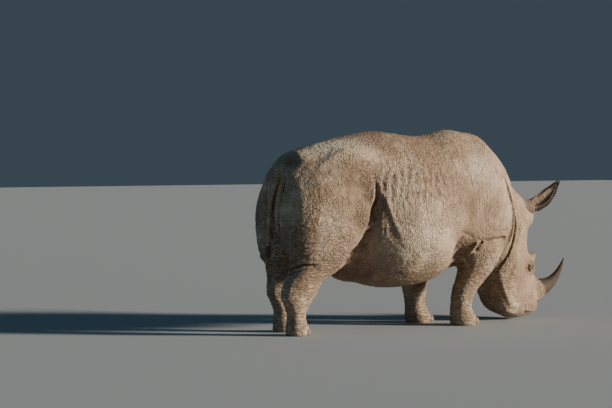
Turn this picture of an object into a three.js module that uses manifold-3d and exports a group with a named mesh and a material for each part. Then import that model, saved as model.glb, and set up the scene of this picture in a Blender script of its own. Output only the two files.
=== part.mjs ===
// A white rhinoceros bull at life size, grazing: head down, both forefeet set back under the chest and
// both hind feet a little behind the hips. Millimetres, +X towards the head, +Y to its left, +Z up.
//
// The flesh is one implicit form: a smooth union of a few swept sections and ellipsoids, each given by
// named sizes. Every flesh piece is a sphere mesh drawn out over that form from its own axis and then
// parted from its neighbours with manifold-3d. Horns, eyes, toenails, ears and tail are shaped on their own.
import * as THREE from "three";
import { mergeVertices } from "three/addons/utils/BufferGeometryUtils.js";
import Module from "manifold-3d";

const wasm = await Module();
wasm.setup();

// ---------------------------------------------------------------- driving dimensions
const GAP = 0.3; // between two pieces that meet

const HEAD_LEAN = THREE.MathUtils.degToRad(19); // the face against the vertical
const POLL = new THREE.Vector3(1590, 0, 1196); // top of the skull, between the ears
const HEAD_ALONG = new THREE.Vector3(Math.sin(HEAD_LEAN), 0, -Math.cos(HEAD_LEAN)); // poll to lips
const HEAD_UP = new THREE.Vector3(Math.cos(HEAD_LEAN), 0, Math.sin(HEAD_LEAN)); // throat to forehead

const EYE = { along: 712, up: -108, radius: 20, sunk: 9 };

// ---------------------------------------------------------------- small maths
const X = new THREE.Vector3(1, 0, 0);
const Y = new THREE.Vector3(0, 1, 0);
const Z = new THREE.Vector3(0, 0, 1);
const SIDES = { right: -1, left: 1 };

// A smooth curve through the stations' values of one key, as a function of the place along the axis.
function smoothly(stations, key) {
  const at = stations.map((s) => s.at);
  const value = stations.map((s) => s[key]);
  const last = at.length - 1;
  const slope = value.map((_, i) => {
    const a = Math.max(0, i - 1);
    const b = Math.min(last, i + 1);
    return (value[b] - value[a]) / (at[b] - at[a]);
  });
  return (place) => {
    if (place <= at[0]) return value[0];
    if (place >= at[last]) return value[last];
    let i = 0;
    while (place > at[i + 1]) i += 1;
    const span = at[i + 1] - at[i];
    const t = (place - at[i]) / span;
    const u = 1 - t;
    return (
      u * u * (1 + 2 * t) * value[i] +
      t * t * (1 + 2 * u) * value[i + 1] +
      span * (u * u * t * slope[i] - t * t * u * slope[i + 1])
    );
  };
}

// Smooth union of two distances, blended over the width k.
function blend(a, b, k) {
  const h = Math.max(k - Math.abs(a - b), 0) / k;
  return Math.min(a, b) - (h * h * k) / 4;
}

// ---------------------------------------------------------------- forms: point -> distance, inside negative
// A superellipse section swept along an axis. Stations give its high and low reach from the axis
// line, its half width, the height of its widest place, its squareness and its sideways place.
function sweep({ origin, along, up, stations, caps }) {
  const first = stations[0].at;
  const last = stations[stations.length - 1].at;
  const full = stations.map((s) => ({ side: 0, mid: (s.high + s.low) / 2, pear: 0, ...s }));
  const of = {};
  for (const key of ["high", "low", "half", "mid", "square", "side", "pear"]) of[key] = smoothly(full, key);
  const place = new THREE.Vector3();
  const form = (p) => {
    place.subVectors(p, origin);
    const s = place.dot(along);
    const inner = Math.min(Math.max(s, first), last);
    const cap = s < first ? caps[0] : caps[1];
    const past = Math.abs(s - inner);
    const mid = of.mid(inner);
    const h = place.dot(up) - mid;
    const reach = h > 0 ? of.high(inner) - mid : mid - of.low(inner);
    const w = place.y - of.side(inner);
    const half = of.half(inner) * (1 + of.pear(inner) * Math.max(-1, Math.min(1, h / reach)));
    const n = of.square(inner);
    const r = (Math.abs(h / reach) ** n + Math.abs(w / half) ** n + Math.abs(past / cap) ** n) ** (1 / n);
    const from = Math.hypot(h, w, past);
    return r < 1e-6 ? -Math.min(reach, half) : from * (1 - 1 / r);
  };
  form.axis = { origin, along, up, of, first, last, caps };
  return form;
}

// An ellipsoid with its own directions, a little squared where n is over 2.
function lump({ at, radii, along = X, up = Z, n = 2 }) {
  const d = new THREE.Vector3();
  return (p) => {
    d.subVectors(p, at);
    const a = d.dot(along);
    const b = d.y;
    const c = d.dot(up);
    const powers = [a, b, c].map((reach, i) => Math.abs(reach / radii[i]) ** n);
    const r = (powers[0] + powers[1] + powers[2]) ** (1 / n);
    return r < 1e-6 ? -Math.min(...radii) : Math.hypot(a, b, c) * (1 - 1 / r);
  };
}

const both = (make) => Object.entries(SIDES).map(([name, sign]) => make(sign, name));

// ---------------------------------------------------------------- the trunk, neck and head
const barrel = sweep({
  origin: new THREE.Vector3(0, 0, 0),
  along: X,
  up: Z,
  caps: [400, 250],
  stations: [
    { at: -700, high: 1640, low: 640, half: 390, mid: 1060, square: 2.4 },
    { at: -440, high: 1700, low: 520, half: 385, mid: 1150, square: 2.6, pear: 0.08 },
    { at: -80, high: 1768, low: 385, half: 590, mid: 960, square: 2.15 },
    { at: 150, high: 1756, low: 362, half: 640, mid: 900, square: 2.1 },
    { at: 500, high: 1728, low: 405, half: 595, mid: 930, square: 2.1 },
    { at: 830, high: 1792, low: 555, half: 490, mid: 1030, square: 2.05 },
    { at: 1080, high: 1730, low: 630, half: 400, mid: 1100, square: 2.1 },
  ],
});
const sheath = lump({ at: new THREE.Vector3(-330, 0, 500), radii: [130, 48, 62] });

const NECK_ROOT = new THREE.Vector3(900, 0, 1270);
const NECK_END = new THREE.Vector3(1520, 0, 900);
const neckAlong = new THREE.Vector3().subVectors(NECK_END, NECK_ROOT).normalize();
const neckUp = new THREE.Vector3(-neckAlong.z, 0, neckAlong.x);
const neckForm = sweep({
  origin: NECK_ROOT,
  along: neckAlong,
  up: neckUp,
  caps: [200, 160],
  stations: [
    { at: 0, high: 480, low: -520, half: 390, square: 2.1 },
    { at: 360, high: 405, low: -480, half: 320, square: 2.1 },
    { at: NECK_ROOT.distanceTo(NECK_END), high: 250, low: -430, half: 235, square: 2.2 },
  ],
});

const inHead = (along, up, out) =>
  POLL.clone().addScaledVector(HEAD_ALONG, along).addScaledVector(HEAD_UP, up).addScaledVector(Y, out);
const skull = sweep({
  origin: POLL,
  along: HEAD_ALONG,
  up: HEAD_UP,
  caps: [90, 62],
  stations: [
    { at: 60, high: 10, low: -440, half: 165, square: 2.4 },
    { at: 190, high: 58, low: -490, half: 186, mid: -240, square: 2.7 },
    { at: 300, high: 62, low: -525, half: 198, mid: -260, square: 2.8, pear: -0.05 },
    { at: 400, high: 46, low: -545, half: 204, mid: -280, square: 2.7, pear: -0.09 },
    { at: 500, high: 12, low: -560, half: 202, mid: -300, square: 2.6, pear: -0.16 },
    { at: 660, high: -6, low: -572, half: 195, mid: -300, square: 2.6, pear: -0.24 },
    { at: 820, high: 0, low: -550, half: 166, mid: -290, square: 2.6, pear: -0.16 },
    { at: 960, high: 12, low: -510, half: 150, mid: -260, square: 2.7, pear: -0.06 },
    { at: 1060, high: -50, low: -455, half: 150, mid: -250, square: 3 },
  ],
});
const headLump = (along, up, out, radii, n = 2) =>
  lump({ at: inHead(along, up, out), radii, along: HEAD_ALONG, up: HEAD_UP, n });
const headLumps = [
  headLump(60, -60, 0, [100, 160, 95]), // crest of the skull
  headLump(968, -6, 0, [140, 106, 76]), // boss under the front horn
  headLump(1100, 24, 0, [50, 82, 56]), // tip of the nose, under the horn's front edge
  headLump(680, 8, 0, [110, 75, 38]), // seat of the rear horn
  lump({ at: new THREE.Vector3(1684, 0, 140), radii: [168, 148, 112], n: 2.9 }), // square lips
  ...both((sign) => headLump(130, -10, sign * 138, [75, 58, 62])), // roots of the ears
  ...both((sign) => headLump(232, 18, sign * 155, [96, 54, 74])), // temples
  ...both((sign) => headLump(680, -74, sign * 126, [95, 45, 45])), // brows
  ...both((sign) => headLump(500, -370, sign * 130, [190, 95, 150])), // jaw muscles
  ...both((sign) => headLump(790, -455, sign * 128, [240, 82, 98])), // corners of the lower jaw
  ...both((sign) => headLump(1075, -150, sign * 92, [64, 52, 60])), // nostrils' swelling
];

// ---------------------------------------------------------------- the legs
// Heights up a leg, with its front and back edge against its own centre line, its half width and how
// far it stands out from the foot. Each leg's centre line is its own: the animal is in mid stride.
function legForm(stations, centreLine, track, sign) {
  const centre = smoothly(centreLine, "x");
  const form = sweep({
    origin: new THREE.Vector3(0, 0, 0),
    along: Z,
    up: X,
    caps: [1, 150],
    stations: stations.map(({ z, front, back, half, out, square = 2.2 }) => ({
      at: z,
      high: centre(z) + front,
      low: centre(z) + back,
      half,
      square,
      side: sign * (track + out),
    })),
  });
  form.centre = centre;
  return form;
}
const FORE_TRACK = 225; // each foot's distance from the midline
const FORE_LINES = {
  right: [
    { at: 0, x: 862 },
    { at: 160, x: 828 },
    { at: 300, x: 848 },
    { at: 430, x: 930 },
    { at: 540, x: 985 },
    { at: 720, x: 1005 },
  ],
  left: [
    { at: 0, x: 690 },
    { at: 160, x: 657 },
    { at: 340, x: 648 },
    { at: 470, x: 675 },
    { at: 720, x: 850 },
  ],
};
const FORE_STATIONS = [
  { z: 0, front: 124, back: -110, half: 110, out: 0, square: 2.5 },
  { z: 24, front: 136, back: -120, half: 121, out: 0, square: 2.5 },
  { z: 60, front: 134, back: -120, half: 121, out: 0, square: 2.4 },
  { z: 130, front: 90, back: -107, half: 103, out: 2 },
  { z: 200, front: 84, back: -104, half: 95, out: 4 },
  { z: 300, front: 114, back: -120, half: 102, out: 8 },
  { z: 400, front: 140, back: -150, half: 117, out: 20 },
  { z: 500, front: 172, back: -185, half: 133, out: 34 },
  { z: 600, front: 204, back: -210, half: 150, out: 52 },
  { z: 720, front: 225, back: -235, half: 165, out: 70 },
];
const HIND_TRACK = 180;
const HIND_LINES = {
  right: [
    { at: 0, x: -962 },
    { at: 180, x: -975 },
    { at: 350, x: -961 },
    { at: 475, x: -920 },
    { at: 570, x: -850 },
    { at: 740, x: -770 },
  ],
  left: [
    { at: 0, x: -852 },
    { at: 180, x: -866 },
    { at: 350, x: -846 },
    { at: 475, x: -820 },
    { at: 570, x: -790 },
    { at: 740, x: -760 },
  ],
};
const HIND_STATIONS = [
  { z: 0, front: 96, back: -92, half: 92, out: 0, square: 2.5 },
  { z: 24, front: 106, back: -100, half: 102, out: 0, square: 2.5 },
  { z: 60, front: 102, back: -98, half: 100, out: 0, square: 2.4 },
  { z: 120, front: 84, back: -88, half: 84, out: 0 },
  { z: 180, front: 80, back: -86, half: 80, out: 2 },
  { z: 250, front: 112, back: -120, half: 86, out: 6 },
  { z: 330, front: 165, back: -176, half: 98, out: 12 },
  { z: 400, front: 186, back: -186, half: 108, out: 18 },
  { z: 475, front: 184, back: -184, half: 124, out: 26 },
  { z: 570, front: 212, back: -214, half: 146, out: 40 },
  { z: 740, front: 300, back: -290, half: 185, out: 60 },
];
const foreLegs = {};
const hindLegs = {};
both((sign, name) => {
  foreLegs[name] = legForm(FORE_STATIONS, FORE_LINES[name], FORE_TRACK, sign);
  hindLegs[name] = legForm(HIND_STATIONS, HIND_LINES[name], HIND_TRACK, sign);
});
const thighs = both((sign) =>
  lump({ at: new THREE.Vector3(-700, sign * 228, 965), radii: [404, 236, 460], n: 2.15 }),
);
const shoulders = both((sign) =>
  lump({ at: new THREE.Vector3(1005, sign * 290, 1090), radii: [310, 200, 440], n: 2.2 }),
);
const hips = both((sign) => lump({ at: new THREE.Vector3(-470, sign * 286, 1450), radii: [310, 138, 160] }));

// ---------------------------------------------------------------- the whole form
const union = (forms, k) => (p) => forms.reduce((d, form) => blend(d, form(p), k), Infinity);
const BODY_BLEND = 110;
const HEAD_BLEND = 50;
const trunkAll = union([barrel, sheath, ...thighs, ...shoulders, ...hips], BODY_BLEND);
const headAll = union([skull, ...headLumps], HEAD_BLEND);
const torso = (p) => blend(blend(trunkAll(p), neckForm(p), 200), headAll(p), 90);
const legsAll = union([...Object.values(foreLegs), ...Object.values(hindLegs)], 40);
const whole = (p) => blend(torso(p), legsAll(p), 80);

// ---------------------------------------------------------------- meshes over the form
// A sphere mesh drawn out over a form: its rings sit along an axis, each vertex where the straight line
// out from the axis leaves the form, and the rings of its two ends fan out from the end of the axis.
function wrapped(form, axis, { sides, places, capRings = 4, most }) {
  const start = places[0];
  const end = places[places.length - 1];
  const stops = [];
  for (let i = 0; i < capRings; i += 1) stops.push({ at: end, tilt: 1 - i / capRings });
  for (const at of places.toReversed()) stops.push({ at, tilt: 0 });
  for (let i = 1; i <= capRings; i += 1) stops.push({ at: start, tilt: -i / capRings });
  const geometry = new THREE.SphereGeometry(1, sides, stops.length - 1);
  const position = geometry.getAttribute("position");
  const hand = -Math.sign(new THREE.Vector3().crossVectors(axis.along, Y).dot(axis.up));
  const direction = new THREE.Vector3();
  const point = new THREE.Vector3();
  for (let v = 0; v < position.count; v += 1) {
    const { at, tilt } = stops[Math.floor(v / (sides + 1))];
    const turn = ((v % (sides + 1)) / sides) * 2 * Math.PI;
    const angle = (tilt * Math.PI) / 2;
    const radial = Math.cos(angle) < 1e-9 ? 0 : Math.cos(angle);
    direction
      .set(0, 0, 0)
      .addScaledVector(axis.up, Math.cos(turn) * radial)
      .addScaledVector(Y, Math.sin(turn) * radial * hand)
      .addScaledVector(axis.along, Math.sin(angle));
    const centre = axis.origin
      .clone()
      .addScaledVector(axis.along, at)
      .addScaledVector(axis.up, axis.of.mid(at))
      .addScaledVector(Y, axis.of.side(at));
    const reach = wayOut(form, centre, direction, most);
    point.copy(centre).addScaledVector(direction, reach);
    position.setXYZ(v, point.x, point.y, point.z);
  }
  return geometry;
}

// Evenly spaced places from one end to the other.
const evenly = (from, to, spans) =>
  Array.from({ length: spans + 1 }, (_, i) => from + ((to - from) * i) / spans);

// How far a line from an inner point goes before it leaves the form, at most `most`.
function wayOut(form, centre, direction, most = 1400) {
  const p = new THREE.Vector3();
  const outside = (t) => form(p.copy(centre).addScaledVector(direction, t)) > 0;
  const STEP = 20;
  let far = STEP;
  while (far < most && !outside(far)) far += STEP;
  if (far >= most) return most;
  let near = far - STEP;
  for (let i = 0; i < 18; i += 1) {
    const half = (near + far) / 2;
    if (outside(half)) far = half;
    else near = half;
  }
  return (near + far) / 2;
}

// ---------------------------------------------------------------- solids
function solid(geometry) {
  const bare = new THREE.BufferGeometry();
  bare.setAttribute("position", geometry.getAttribute("position").clone());
  if (geometry.index) bare.setIndex(geometry.index.clone());
  const merged = mergeVertices(bare, 0.01);
  const corners = Array.from(merged.index.array);
  const kept = [];
  for (let i = 0; i < corners.length; i += 3) {
    const [a, b, c] = corners.slice(i, i + 3);
    if (a !== b && b !== c && c !== a) kept.push(a, b, c);
  }
  return new wasm.Manifold(
    new wasm.Mesh({
      numProp: 3,
      vertProperties: new Float32Array(merged.getAttribute("position").array),
      triVerts: new Uint32Array(kept),
    }),
  );
}

function geometryOf(made) {
  const mesh = made.getMesh();
  const geometry = new THREE.BufferGeometry();
  geometry.setAttribute("position", new THREE.BufferAttribute(new Float32Array(mesh.vertProperties), 3));
  geometry.setIndex(new THREE.BufferAttribute(new Uint32Array(mesh.triVerts), 1));
  return geometry;
}

// Elliptic sections along a curve: `wide` across and `deep` towards the inward direction, closed at
// both ends. A grown copy is larger all round, and is cut away from what the piece sits in.
function loft(curve, sizes, { sides, rings, inward, grow = 0 }) {
  const stations = sizes.map(({ t, ...rest }) => ({ at: t, ...rest }));
  const wide = smoothly(stations, "wide");
  const deep = smoothly(stations, "deep");
  const stops = [{ t: 1, full: 0 }];
  for (let i = 0; i <= rings; i += 1) stops.push({ t: 1 - i / rings, full: 1 });
  stops.push({ t: 0, full: 0 });
  const geometry = new THREE.SphereGeometry(1, sides, stops.length - 1);
  const position = geometry.getAttribute("position");
  for (let v = 0; v < position.count; v += 1) {
    const { t, full } = stops[Math.floor(v / (sides + 1))];
    const turn = ((v % (sides + 1)) / sides) * 2 * Math.PI;
    const tangent = curve.getTangent(t);
    const over = inward.clone().projectOnPlane(tangent).normalize();
    const across = new THREE.Vector3().crossVectors(tangent, over);
    const end = t === 1 ? grow : t === 0 ? -grow : 0;
    const point = curve
      .getPoint(t)
      .addScaledVector(tangent, end)
      .addScaledVector(over, Math.cos(turn) * full * (deep(t) + grow))
      .addScaledVector(across, Math.sin(turn) * full * (wide(t) + grow));
    position.setXYZ(v, point.x, point.y, point.z);
  }
  return solid(geometry);
}

// A copy of a solid with every vertex moved out along its normal.
function grown(made, by) {
  const geometry = geometryOf(made);
  geometry.computeVertexNormals();
  const position = geometry.getAttribute("position");
  const normal = geometry.getAttribute("normal");
  for (let v = 0; v < position.count; v += 1) {
    position.setXYZ(
      v,
      position.getX(v) + normal.getX(v) * by,
      position.getY(v) + normal.getY(v) * by,
      position.getZ(v) + normal.getZ(v) * by,
    );
  }
  return solid(geometry);
}

// Everything on the far side of a plane through a point, as a big box.
const VAST = 6000;
function beyond(point, normal, offset = 0) {
  const box = new THREE.BoxGeometry(VAST, VAST, VAST).translate(0, 0, VAST / 2 + offset);
  const turn = new THREE.Quaternion().setFromUnitVectors(Z, normal.clone().normalize());
  box.applyQuaternion(turn).translate(point.x, point.y, point.z);
  return solid(box);
}

// ---------------------------------------------------------------- where the pieces part
const NECK_CUT = { point: new THREE.Vector3(1235, 0, 1100), normal: new THREE.Vector3(1, 0, -0.1) };
const HEAD_CUT = { point: new THREE.Vector3(1520, 0, 1220), normal: new THREE.Vector3(0.954, 0, -0.3) };

// The space of one leg: its outline seen from the side with a margin round it, closed above by a plane
// that climbs outwards from the groin. The space cut out of the trunk is wider by the gap.
const SPACE_DEPTH = 900; // past the widest place of the body
const FLANK_OUT = 450; // how far out from the midline the plane reaches the height of the flank
function legSpace({ leg, heights, margin, top, groin, flank }, sign, gap) {
  const edge = (key, way) =>
    heights.map((z, i) => new THREE.Vector2(leg.axis.of[key](z) + way * (margin[i] + gap), z));
  const crown = top.map(([x, z]) => new THREE.Vector2(x + gap * Math.sign(x - leg.centre(720)), z + gap));
  const shape = new THREE.Shape([...edge("high", 1), ...crown, ...edge("low", -1).reverse()]);
  const prism = new THREE.ExtrudeGeometry(shape, { depth: SPACE_DEPTH, bevelEnabled: false });
  prism.rotateX(Math.PI / 2); // the outline stands up, and runs towards -Y
  const inner = gap ? -gap : GAP / 2; // a space cut out of the trunk passes the midline
  prism.translate(0, sign > 0 ? SPACE_DEPTH + inner : -inner, 0);
  const normal = new THREE.Vector3(0, -sign * (flank - groin), FLANK_OUT).normalize();
  return solid(prism).subtract(beyond(new THREE.Vector3(0, 0, groin), normal, gap));
}
const spaces = {
  fore: (sign, name, gap) =>
    legSpace(
      {
        leg: foreLegs[name],
        heights: [-60, 300, 420, 520, 620],
        margin: [160, 60, 30, 18, 14],
        top: [
          [265, 790],
          [175, 850],
          [0, 865],
          [-165, 830],
        ].map(([x, z]) => [foreLegs[name].centre(720) + x, z]),
        groin: 470,
        flank: 860,
      },
      sign,
      gap,
    ),
  hind: (sign, name, gap) =>
    legSpace(
      {
        leg: hindLegs[name],
        heights: [-60, 350, 480, 570],
        margin: [260, 200, 40, 30],
        top: [
          [-500, 700],
          [-425, 900],
          [-400, 1090],
          [-470, 1200],
          [-700, 1270],
          [-1500, 1290],
          [-1500, 600],
        ],
        groin: 630,
        flank: 1180,
      },
      sign,
      gap,
    ),
};

// ---------------------------------------------------------------- pieces
const rhino = new THREE.Group();
const HIDE = new THREE.MeshStandardMaterial({ color: 0xa8927a, roughness: 0.85, metalness: 0 });
const HORN = new THREE.MeshStandardMaterial({ color: 0x6b5a45, roughness: 0.6, metalness: 0 });
const EYE_MATERIAL = new THREE.MeshStandardMaterial({ color: 0x1a120c, roughness: 0.15, metalness: 0 });
const NAIL_MATERIAL = new THREE.MeshStandardMaterial({ color: 0x8a7a66, roughness: 0.55, metalness: 0 });
const HAIR = new THREE.MeshStandardMaterial({ color: 0x2a241e, roughness: 0.9, metalness: 0 });

function add(name, made, material) {
  const mesh = new THREE.Mesh(geometryOf(made), material);
  mesh.name = name;
  rhino.add(mesh);
}

const cutAway = (piece, others) => others.reduce((rest, other) => rest.subtract(other), piece);

// The tail hangs in the groove between the buttocks and ends in a tuft.
const TAIL_LINE = new THREE.CatmullRomCurve3(
  [
    [-900, 1500],
    [-1010, 1462],
    [-1090, 1340],
    [-1128, 1150],
    [-1142, 950],
    [-1148, 770],
  ].map(([x, z]) => new THREE.Vector3(x, 0, z)),
);
const TAIL_SIZES = [
  { t: 0, wide: 62, deep: 52 },
  { t: 0.2, wide: 52, deep: 44 },
  { t: 0.45, wide: 33, deep: 28 },
  { t: 0.75, wide: 26, deep: 21 },
  { t: 1, wide: 20, deep: 15 },
];
const tail = (grow) => loft(TAIL_LINE, TAIL_SIZES, { sides: 10, rings: 9, inward: X, grow });
const TUFT_LINE = new THREE.LineCurve3(new THREE.Vector3(-1148, 0, 767.5), new THREE.Vector3(-1146, 0, 612));
const TUFT_SIZES = [
  { t: 0, wide: 20, deep: 15 },
  { t: 0.4, wide: 31, deep: 15 },
  { t: 0.8, wide: 26, deep: 10 },
  { t: 1, wide: 8, deep: 4 },
];
const tuft = (grow) => loft(TUFT_LINE, TUFT_SIZES, { sides: 8, rings: 4, inward: X, grow });

// Horns: each a tapering loft along a curve in the midplane, seated in the skin of the nose.
const HORN_TIP = new THREE.Vector3(2290, 0, 560);
const FRONT_HORN = {
  line: new THREE.QuadraticBezierCurve3(inHead(975, 2, 0), inHead(1058, 264, 0), HORN_TIP),
  sizes: [
    { t: 0, wide: 84, deep: 92 },
    { t: 0.14, wide: 82, deep: 90 },
    { t: 0.32, wide: 62, deep: 68 },
    { t: 0.5, wide: 44, deep: 48 },
    { t: 0.72, wide: 27, deep: 29 },
    { t: 0.88, wide: 15, deep: 15 },
    { t: 1, wide: 4, deep: 4 },
  ],
};
const REAR_HORN = {
  line: new THREE.QuadraticBezierCurve3(inHead(692, 0, 0), inHead(680, 70, 0), inHead(652, 122, 0)),
  sizes: [
    { t: 0, wide: 62, deep: 70 },
    { t: 0.4, wide: 48, deep: 52 },
    { t: 0.75, wide: 28, deep: 28 },
    { t: 1, wide: 9, deep: 9 },
  ],
};
const horn = ({ line, sizes }, rings, grow) =>
  loft(line, sizes, { sides: 12, rings, inward: HEAD_ALONG, grow });

// Ears: a tube at the root that opens into a cupped leaf, turned so that its mouth looks out and back.
const EAR_TIPS = { right: { x: 1925, out: 305, z: 1298 }, left: { x: 1850, out: 375, z: 1325 } };
const EAR_SIZES = [
  { t: 0, wide: 78, deep: 66 },
  { t: 0.22, wide: 72, deep: 58 },
  { t: 0.42, wide: 68, deep: 47 },
  { t: 0.6, wide: 73, deep: 40 },
  { t: 0.78, wide: 58, deep: 30 },
  { t: 0.92, wide: 28, deep: 16 },
  { t: 1, wide: 7, deep: 6 },
];
const HOLLOW_SIZES = [
  { t: 0, wide: 10, deep: 10 },
  { t: 0.22, wide: 44, deep: 40 },
  { t: 0.5, wide: 57, deep: 42 },
  { t: 0.8, wide: 36, deep: 28 },
  { t: 1, wide: 8, deep: 8 },
];
const ear = (sign, name, grow) => {
  const root = inHead(135, -12, sign * 122);
  const tip = new THREE.Vector3(EAR_TIPS[name].x, sign * EAR_TIPS[name].out, EAR_TIPS[name].z);
  const axis = new THREE.Vector3().subVectors(tip, root);
  const mouth = new THREE.Vector3()
    .addScaledVector(Y, sign * 0.9)
    .addScaledVector(HEAD_UP, -0.5)
    .addScaledVector(HEAD_ALONG, 0.1)
    .projectOnPlane(axis.clone().normalize())
    .normalize();
  const middle = root.clone().addScaledVector(axis, 0.5).addScaledVector(mouth, -12).addScaledVector(Z, -150);
  const line = new THREE.QuadraticBezierCurve3(root, middle, tip);
  const outer = loft(line, EAR_SIZES, { sides: 12, rings: 9, inward: mouth, grow });
  if (grow) return outer;
  const hollowFrom = line.getPoint(0.3).addScaledVector(mouth, 36);
  const hollowTo = line.getPoint(0.93).addScaledVector(mouth, 18);
  const hollowLine = new THREE.LineCurve3(hollowFrom, hollowTo);
  return outer.subtract(loft(hollowLine, HOLLOW_SIZES, { sides: 10, rings: 5, inward: mouth, grow }));
};

// Eyes: balls that stand a little out of the cheeks.
const eye = (sign, grow) => {
  const inner = inHead(EYE.along, EYE.up, 0);
  const out = wayOut(torso, inner, Y.clone().multiplyScalar(sign));
  const ball = new THREE.SphereGeometry(EYE.radius + grow, 10, 7);
  return solid(ball.translate(inner.x, sign * (out - EYE.sunk), inner.z));
};

// Toenails: three on each foot, a broad one in front and one to each side, their faces a little proud
// of the foot and their soles clear of the floor.
const NAIL = { proud: 5, depth: 22, base: 8, places: { inner: -52, middle: 0, outer: 52 } };
const nailShape = (wide, high) => {
  const shape = new THREE.Shape();
  shape.moveTo(-wide / 2, 0);
  shape.lineTo(wide / 2, 0);
  shape.lineTo(wide * 0.46, high * 0.55);
  shape.lineTo(wide * 0.28, high * 0.93);
  shape.lineTo(0, high);
  shape.lineTo(-wide * 0.28, high * 0.93);
  shape.lineTo(-wide * 0.46, high * 0.55);
  return shape;
};
function toenail(leg, sole, sign, place) {
  const middle = place === "middle";
  const size = leg.axis.of.half(30) / 121; // against a forefoot
  const shape = nailShape((middle ? 96 : 70) * size, (middle ? 74 : 62) * size);
  const prism = new THREE.ExtrudeGeometry(shape, { depth: 120, bevelEnabled: false });
  const turn = THREE.MathUtils.degToRad(NAIL.places[place]) * sign;
  const way = new THREE.Vector3(Math.cos(turn), Math.sin(turn), 0);
  const centre = new THREE.Vector3(leg.axis.of.mid(30), leg.axis.of.side(30), 30);
  const start = wayOut(leg, centre, way) - NAIL.depth;
  prism.rotateX(Math.PI / 2).rotateZ(Math.PI / 2 + turn);
  prism.translate(centre.x + way.x * start, centre.y + way.y * start, NAIL.base);
  return solid(prism).intersect(sole);
}

// ---------------------------------------------------------------- the flesh, parted
const tailRoom = tail(GAP);
const tuftRoom = tuft(GAP);
const horns = { front: (grow) => horn(FRONT_HORN, 8, grow), rear: (grow) => horn(REAR_HORN, 4, grow) };
const earRooms = both((sign, name) => ear(sign, name, GAP));
const eyeRooms = both((sign) => eye(sign, GAP));

const trunkForm = (p) => Math.max(whole(p), blend(trunkAll(p), neckForm(p), 200) - 60);
const trunkPlaces = evenly(barrel.axis.first, barrel.axis.last, 20);
const trunk = solid(wrapped(trunkForm, barrel.axis, { sides: 30, places: trunkPlaces, most: 900 }));
add(
  "trunk",
  cutAway(trunk, [
    beyond(NECK_CUT.point, NECK_CUT.normal, -GAP / 2),
    ...both((sign, name) => spaces.hind(sign, name, GAP)),
    ...both((sign, name) => spaces.fore(sign, name, GAP)),
    tailRoom,
  ]),
  HIDE,
);

const neckPlaces = evenly(0, neckForm.axis.last, 9);
const neck = solid(wrapped(torso, neckForm.axis, { sides: 28, places: neckPlaces, most: 900 }));
add(
  "neck",
  cutAway(neck.intersect(beyond(NECK_CUT.point, NECK_CUT.normal, GAP / 2)), [
    beyond(HEAD_CUT.point, HEAD_CUT.normal, -GAP / 2),
    ...both((sign, name) => spaces.fore(sign, name, GAP)),
    ...earRooms,
  ]),
  HIDE,
);

const headPlaces = evenly(skull.axis.first, skull.axis.last, 20);
const head = solid(wrapped(torso, skull.axis, { sides: 24, places: headPlaces, most: 620 }));
add(
  "head",
  cutAway(head.intersect(beyond(HEAD_CUT.point, HEAD_CUT.normal, GAP / 2)), [
    horns.front(GAP),
    horns.rear(GAP),
    ...earRooms,
    ...eyeRooms,
  ]),
  HIDE,
);
add("horn_front", horns.front(0), HORN);
add("horn_rear", horns.rear(0), HORN);
both((sign, name) => add(`ear_${name}`, ear(sign, name, 0), HIDE));
both((sign, name) => add(`eye_${name}`, eye(sign, 0), EYE_MATERIAL));
add("tail", tail(0), HIDE);
add("tail_tuft", tuft(0), HAIR);

const floor = beyond(new THREE.Vector3(0, 0, 0), Z);
const LEGS = {
  front: {
    forms: foreLegs,
    space: spaces.fore,
    places: [0, 24, 60, 110, 180, 260, 340, 410, 460, 500, 535, 570, 605, 650, 710, 770, 840],
    most: 520,
  },
  hind: {
    forms: hindLegs,
    space: spaces.hind,
    places: [0, 24, 60, 110, 180, 250, 330, 400, 470, 540, 600, 650, 710, 790, 880, 980, 1090, 1200],
    most: 620,
  },
};
for (const [end, { forms, space, places, most }] of Object.entries(LEGS)) {
  both((sign, name) => {
    const leg = forms[name];
    const raw = solid(wrapped(whole, leg.axis, { sides: 16, places, capRings: 1, most }));
    const proud = (p) => leg(p) - NAIL.proud;
    const foot = { sides: 16, places: places.filter((z) => z < 200), capRings: 1, most };
    const sole = solid(wrapped(proud, leg.axis, foot));
    const nails = Object.keys(NAIL.places).map((place) => [place, toenail(leg, sole, sign, place)]);
    const flesh = cutAway(raw.intersect(space(sign, name, 0)).intersect(floor), [
      ...nails.map(([, nail]) => grown(nail, 0.5)),
      tailRoom,
      tuftRoom,
    ]);
    add(`leg_${end}_${name}`, flesh, HIDE);
    for (const [place, nail] of nails) add(`toenail_${end}_${name}_${place}`, nail, NAIL_MATERIAL);
  });
}

// The origin goes under the middle of the whole animal, on the floor.
const box = new THREE.Box3().setFromObject(rhino);
const middle = box.getCenter(new THREE.Vector3());
for (const mesh of rhino.children) mesh.geometry.translate(-middle.x, 0, -box.min.z);

export default rhino;
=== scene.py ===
import contextlib
import math

import bmesh
import bpy
import numpy as np
from mathutils import Matrix, Vector, noise
from mathutils.bvhtree import BVHTree


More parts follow.
